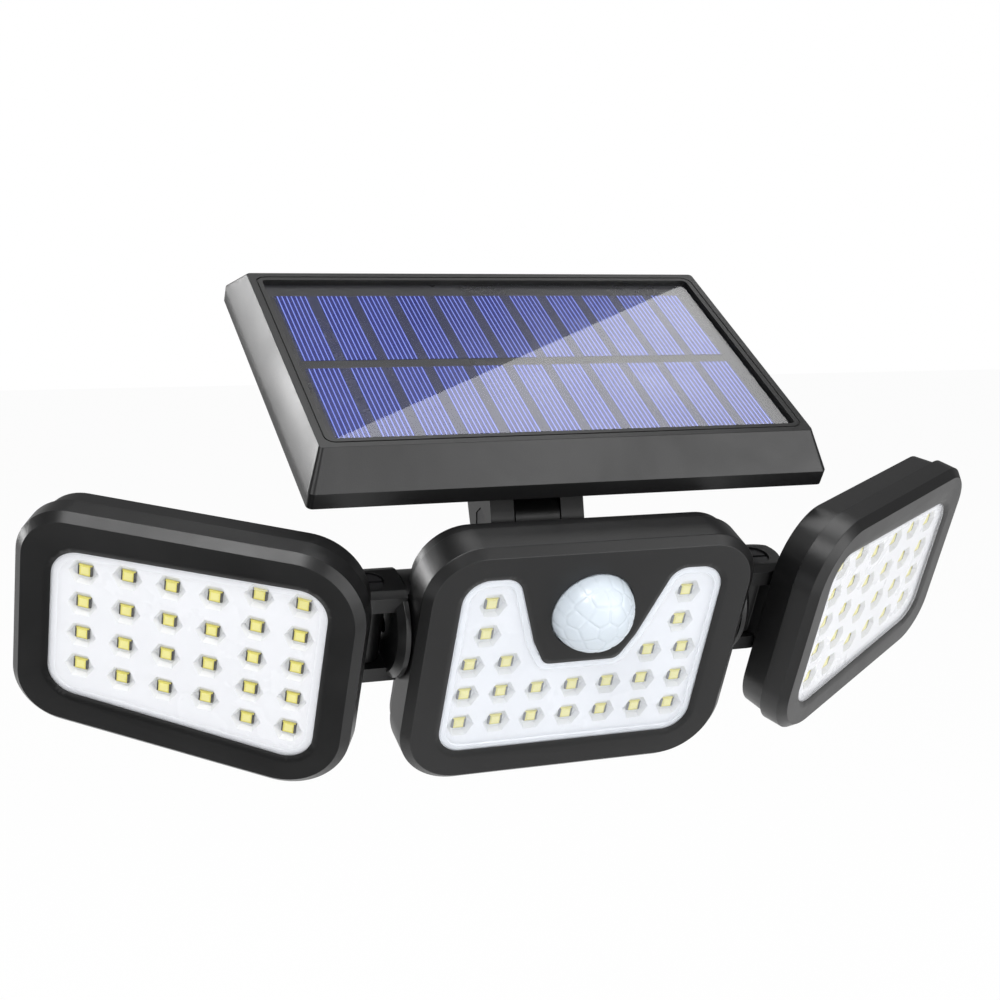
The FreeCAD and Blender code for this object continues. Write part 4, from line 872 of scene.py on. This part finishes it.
class LIGHT_OT_stage(LightOperator, bpy.types.Operator):
    """Set up the camera, floor, world and lamps"""
    bl_idname = "light.stage"
    bl_label = "Stage"

    def execute(self, context):
        self.camera(context.scene)
        self.world(context.scene)
        self.floor()
        for name, place, size, power, aim in LAMPS:
            self.lamp(context.scene, name, Vector(place), size, power, Vector(aim))
        for name, matrix, corners, reach, strength, grow in CARDS:
            self.card(name, matrix, corners, reach, strength, grow)
        return {"FINISHED"}

    @staticmethod
    def camera(scene):
        data = bpy.data.cameras.new("camera")
        data.sensor_fit = "HORIZONTAL"
        data.sensor_width = SENSOR_WIDTH
        data.lens = CAMERA_LENS
        data.clip_start = 0.01
        made = bpy.data.objects.new("camera", data)
        made.matrix_world = (Matrix.Translation(CAMERA_AT) @ turn("Z", -CAMERA_TURN)
                             @ turn("X", 90 - CAMERA_DOWN))
        scene.collection.objects.link(made)
        scene.camera = made
        scene.view_settings.view_transform = "Standard"

    @staticmethod
    def world(scene):
        world = bpy.data.worlds.new("studio")
        world.use_nodes = True
        tree = world.node_tree
        background = tree.nodes["Background"]
        background.inputs["Color"].default_value = (1, 1, 1, 1)
        path = tree.nodes.new("ShaderNodeLightPath")
        level = tree.nodes.new("ShaderNodeMapRange")
        set_inputs(level, {"To Min": WORLD_DIFFUSE, "To Max": WORLD_GLOSSY})
        full = tree.nodes.new("ShaderNodeMath")
        full.operation = "MAXIMUM"
        link(tree, path.outputs["Is Glossy Ray"], level.inputs["Value"])
        link(tree, level.outputs["Result"], full.inputs[0])
        link(tree, path.outputs["Is Camera Ray"], full.inputs[1])
        link(tree, full.outputs[0], background.inputs["Strength"])
        scene.world = world

    @staticmethod
    def floor():
        mesh = bpy.data.meshes.new("floor")
        far = FLOOR_REACH
        mesh.from_pydata([(-far, -far, FLOOR_Z), (far, -far, FLOOR_Z), (far, far, FLOOR_Z),
                          (-far, far, FLOOR_Z)], [], [(0, 1, 2, 3)])
        mesh.materials.append(stage_material("pale_floor", (0.85, 0.85, 0.85), FLOOR_CAMERA_SHARE))
        made = bpy.data.objects.new("floor", mesh)
        bpy.context.scene.collection.objects.link(made)

    @staticmethod
    def lamp(scene, name, place, size, power, aim):
        data = bpy.data.lights.new(name, "AREA")
        data.shape = "DISK"
        data.size = size
        data.energy = power
        made = bpy.data.objects.new(name, data)
        made.location = place
        made.rotation_euler = (aim - place).to_track_quat("-Z", "Y").to_euler()
        scene.collection.objects.link(made)

    @staticmethod
    def card(name, matrix, corners, reach, strength, grow):
        """Card that only glossy rays see, where the camera sees it mirrored over a flat face.

        The face is given by its corners in a piece's frame, in mm, and drawn larger by grow.
        The card lies reach times as far from the mirrored camera as the face does.
        """
        corners = [matrix @ (Vector(v) * MM) for v in corners]
        middle = sum(corners, Vector()) / len(corners)
        corners = [middle + (corner - middle) * grow for corner in corners]
        normal = (corners[1] - corners[0]).cross(corners[2] - corners[0]).normalized()
        behind = CAMERA_AT - 2 * normal * (CAMERA_AT - corners[0]).dot(normal)
        mesh = bpy.data.meshes.new(name)
        mesh.from_pydata([behind + (corner - behind) * reach for corner in corners], [],
                         [tuple(range(len(corners)))])
        material = bpy.data.materials.new(name)
        material.use_nodes = True
        tree = material.node_tree
        tree.nodes.remove(tree.nodes["Principled BSDF"])
        glow = tree.nodes.new("ShaderNodeEmission")
        set_inputs(glow, {"Color": (1, 1, 1, 1), "Strength": strength})
        link(tree, glow.outputs[0], tree.nodes["Material Output"].inputs["Surface"])
        mesh.materials.append(material)
        made = bpy.data.objects.new(name, mesh)
        bpy.context.scene.collection.objects.link(made)
        made.visible_camera = False
        made.visible_diffuse = False
        made.visible_transmission = False
        made.visible_shadow = False


class LIGHT_PT_pieces(bpy.types.Panel):
    """Lists the operators and the settings"""
    bl_idname = "LIGHT_PT_pieces"
    bl_label = "Security Light"
    bl_space_type = "VIEW_3D"
    bl_region_type = "UI"
    bl_category = "Security Light"

    def draw(self, context):
        for operator in OPERATORS:
            self.layout.operator(operator.bl_idname)
        for settings in (context.scene.light_sizes, context.scene.light_colours):
            for name in settings.__annotations__:
                self.layout.prop(settings, name)


OPERATORS = (LIGHT_OT_stage, LIGHT_OT_finishes, LIGHT_OT_shells,
             LIGHT_OT_optics, LIGHT_OT_dome, LIGHT_OT_solar_face)
CLASSES = (LIGHT_PG_colours, LIGHT_PG_sizes, *OPERATORS, LIGHT_PT_pieces)


def register():
    for cls in CLASSES:
        bpy.utils.register_class(cls)
    bpy.types.Scene.light_colours = bpy.props.PointerProperty(type=LIGHT_PG_colours)
    bpy.types.Scene.light_sizes = bpy.props.PointerProperty(type=LIGHT_PG_sizes)


def unregister():
    del bpy.types.Scene.light_sizes
    del bpy.types.Scene.light_colours
    for cls in reversed(CLASSES):
        bpy.utils.unregister_class(cls)


def main():
    register()
    for operator in OPERATORS:
        area, name = operator.bl_idname.split(".")
        if getattr(getattr(bpy.ops, area), name)() != {"FINISHED"}:
            raise RuntimeError(operator.bl_label + " did not finish")


if __name__ == "__main__":
    main()
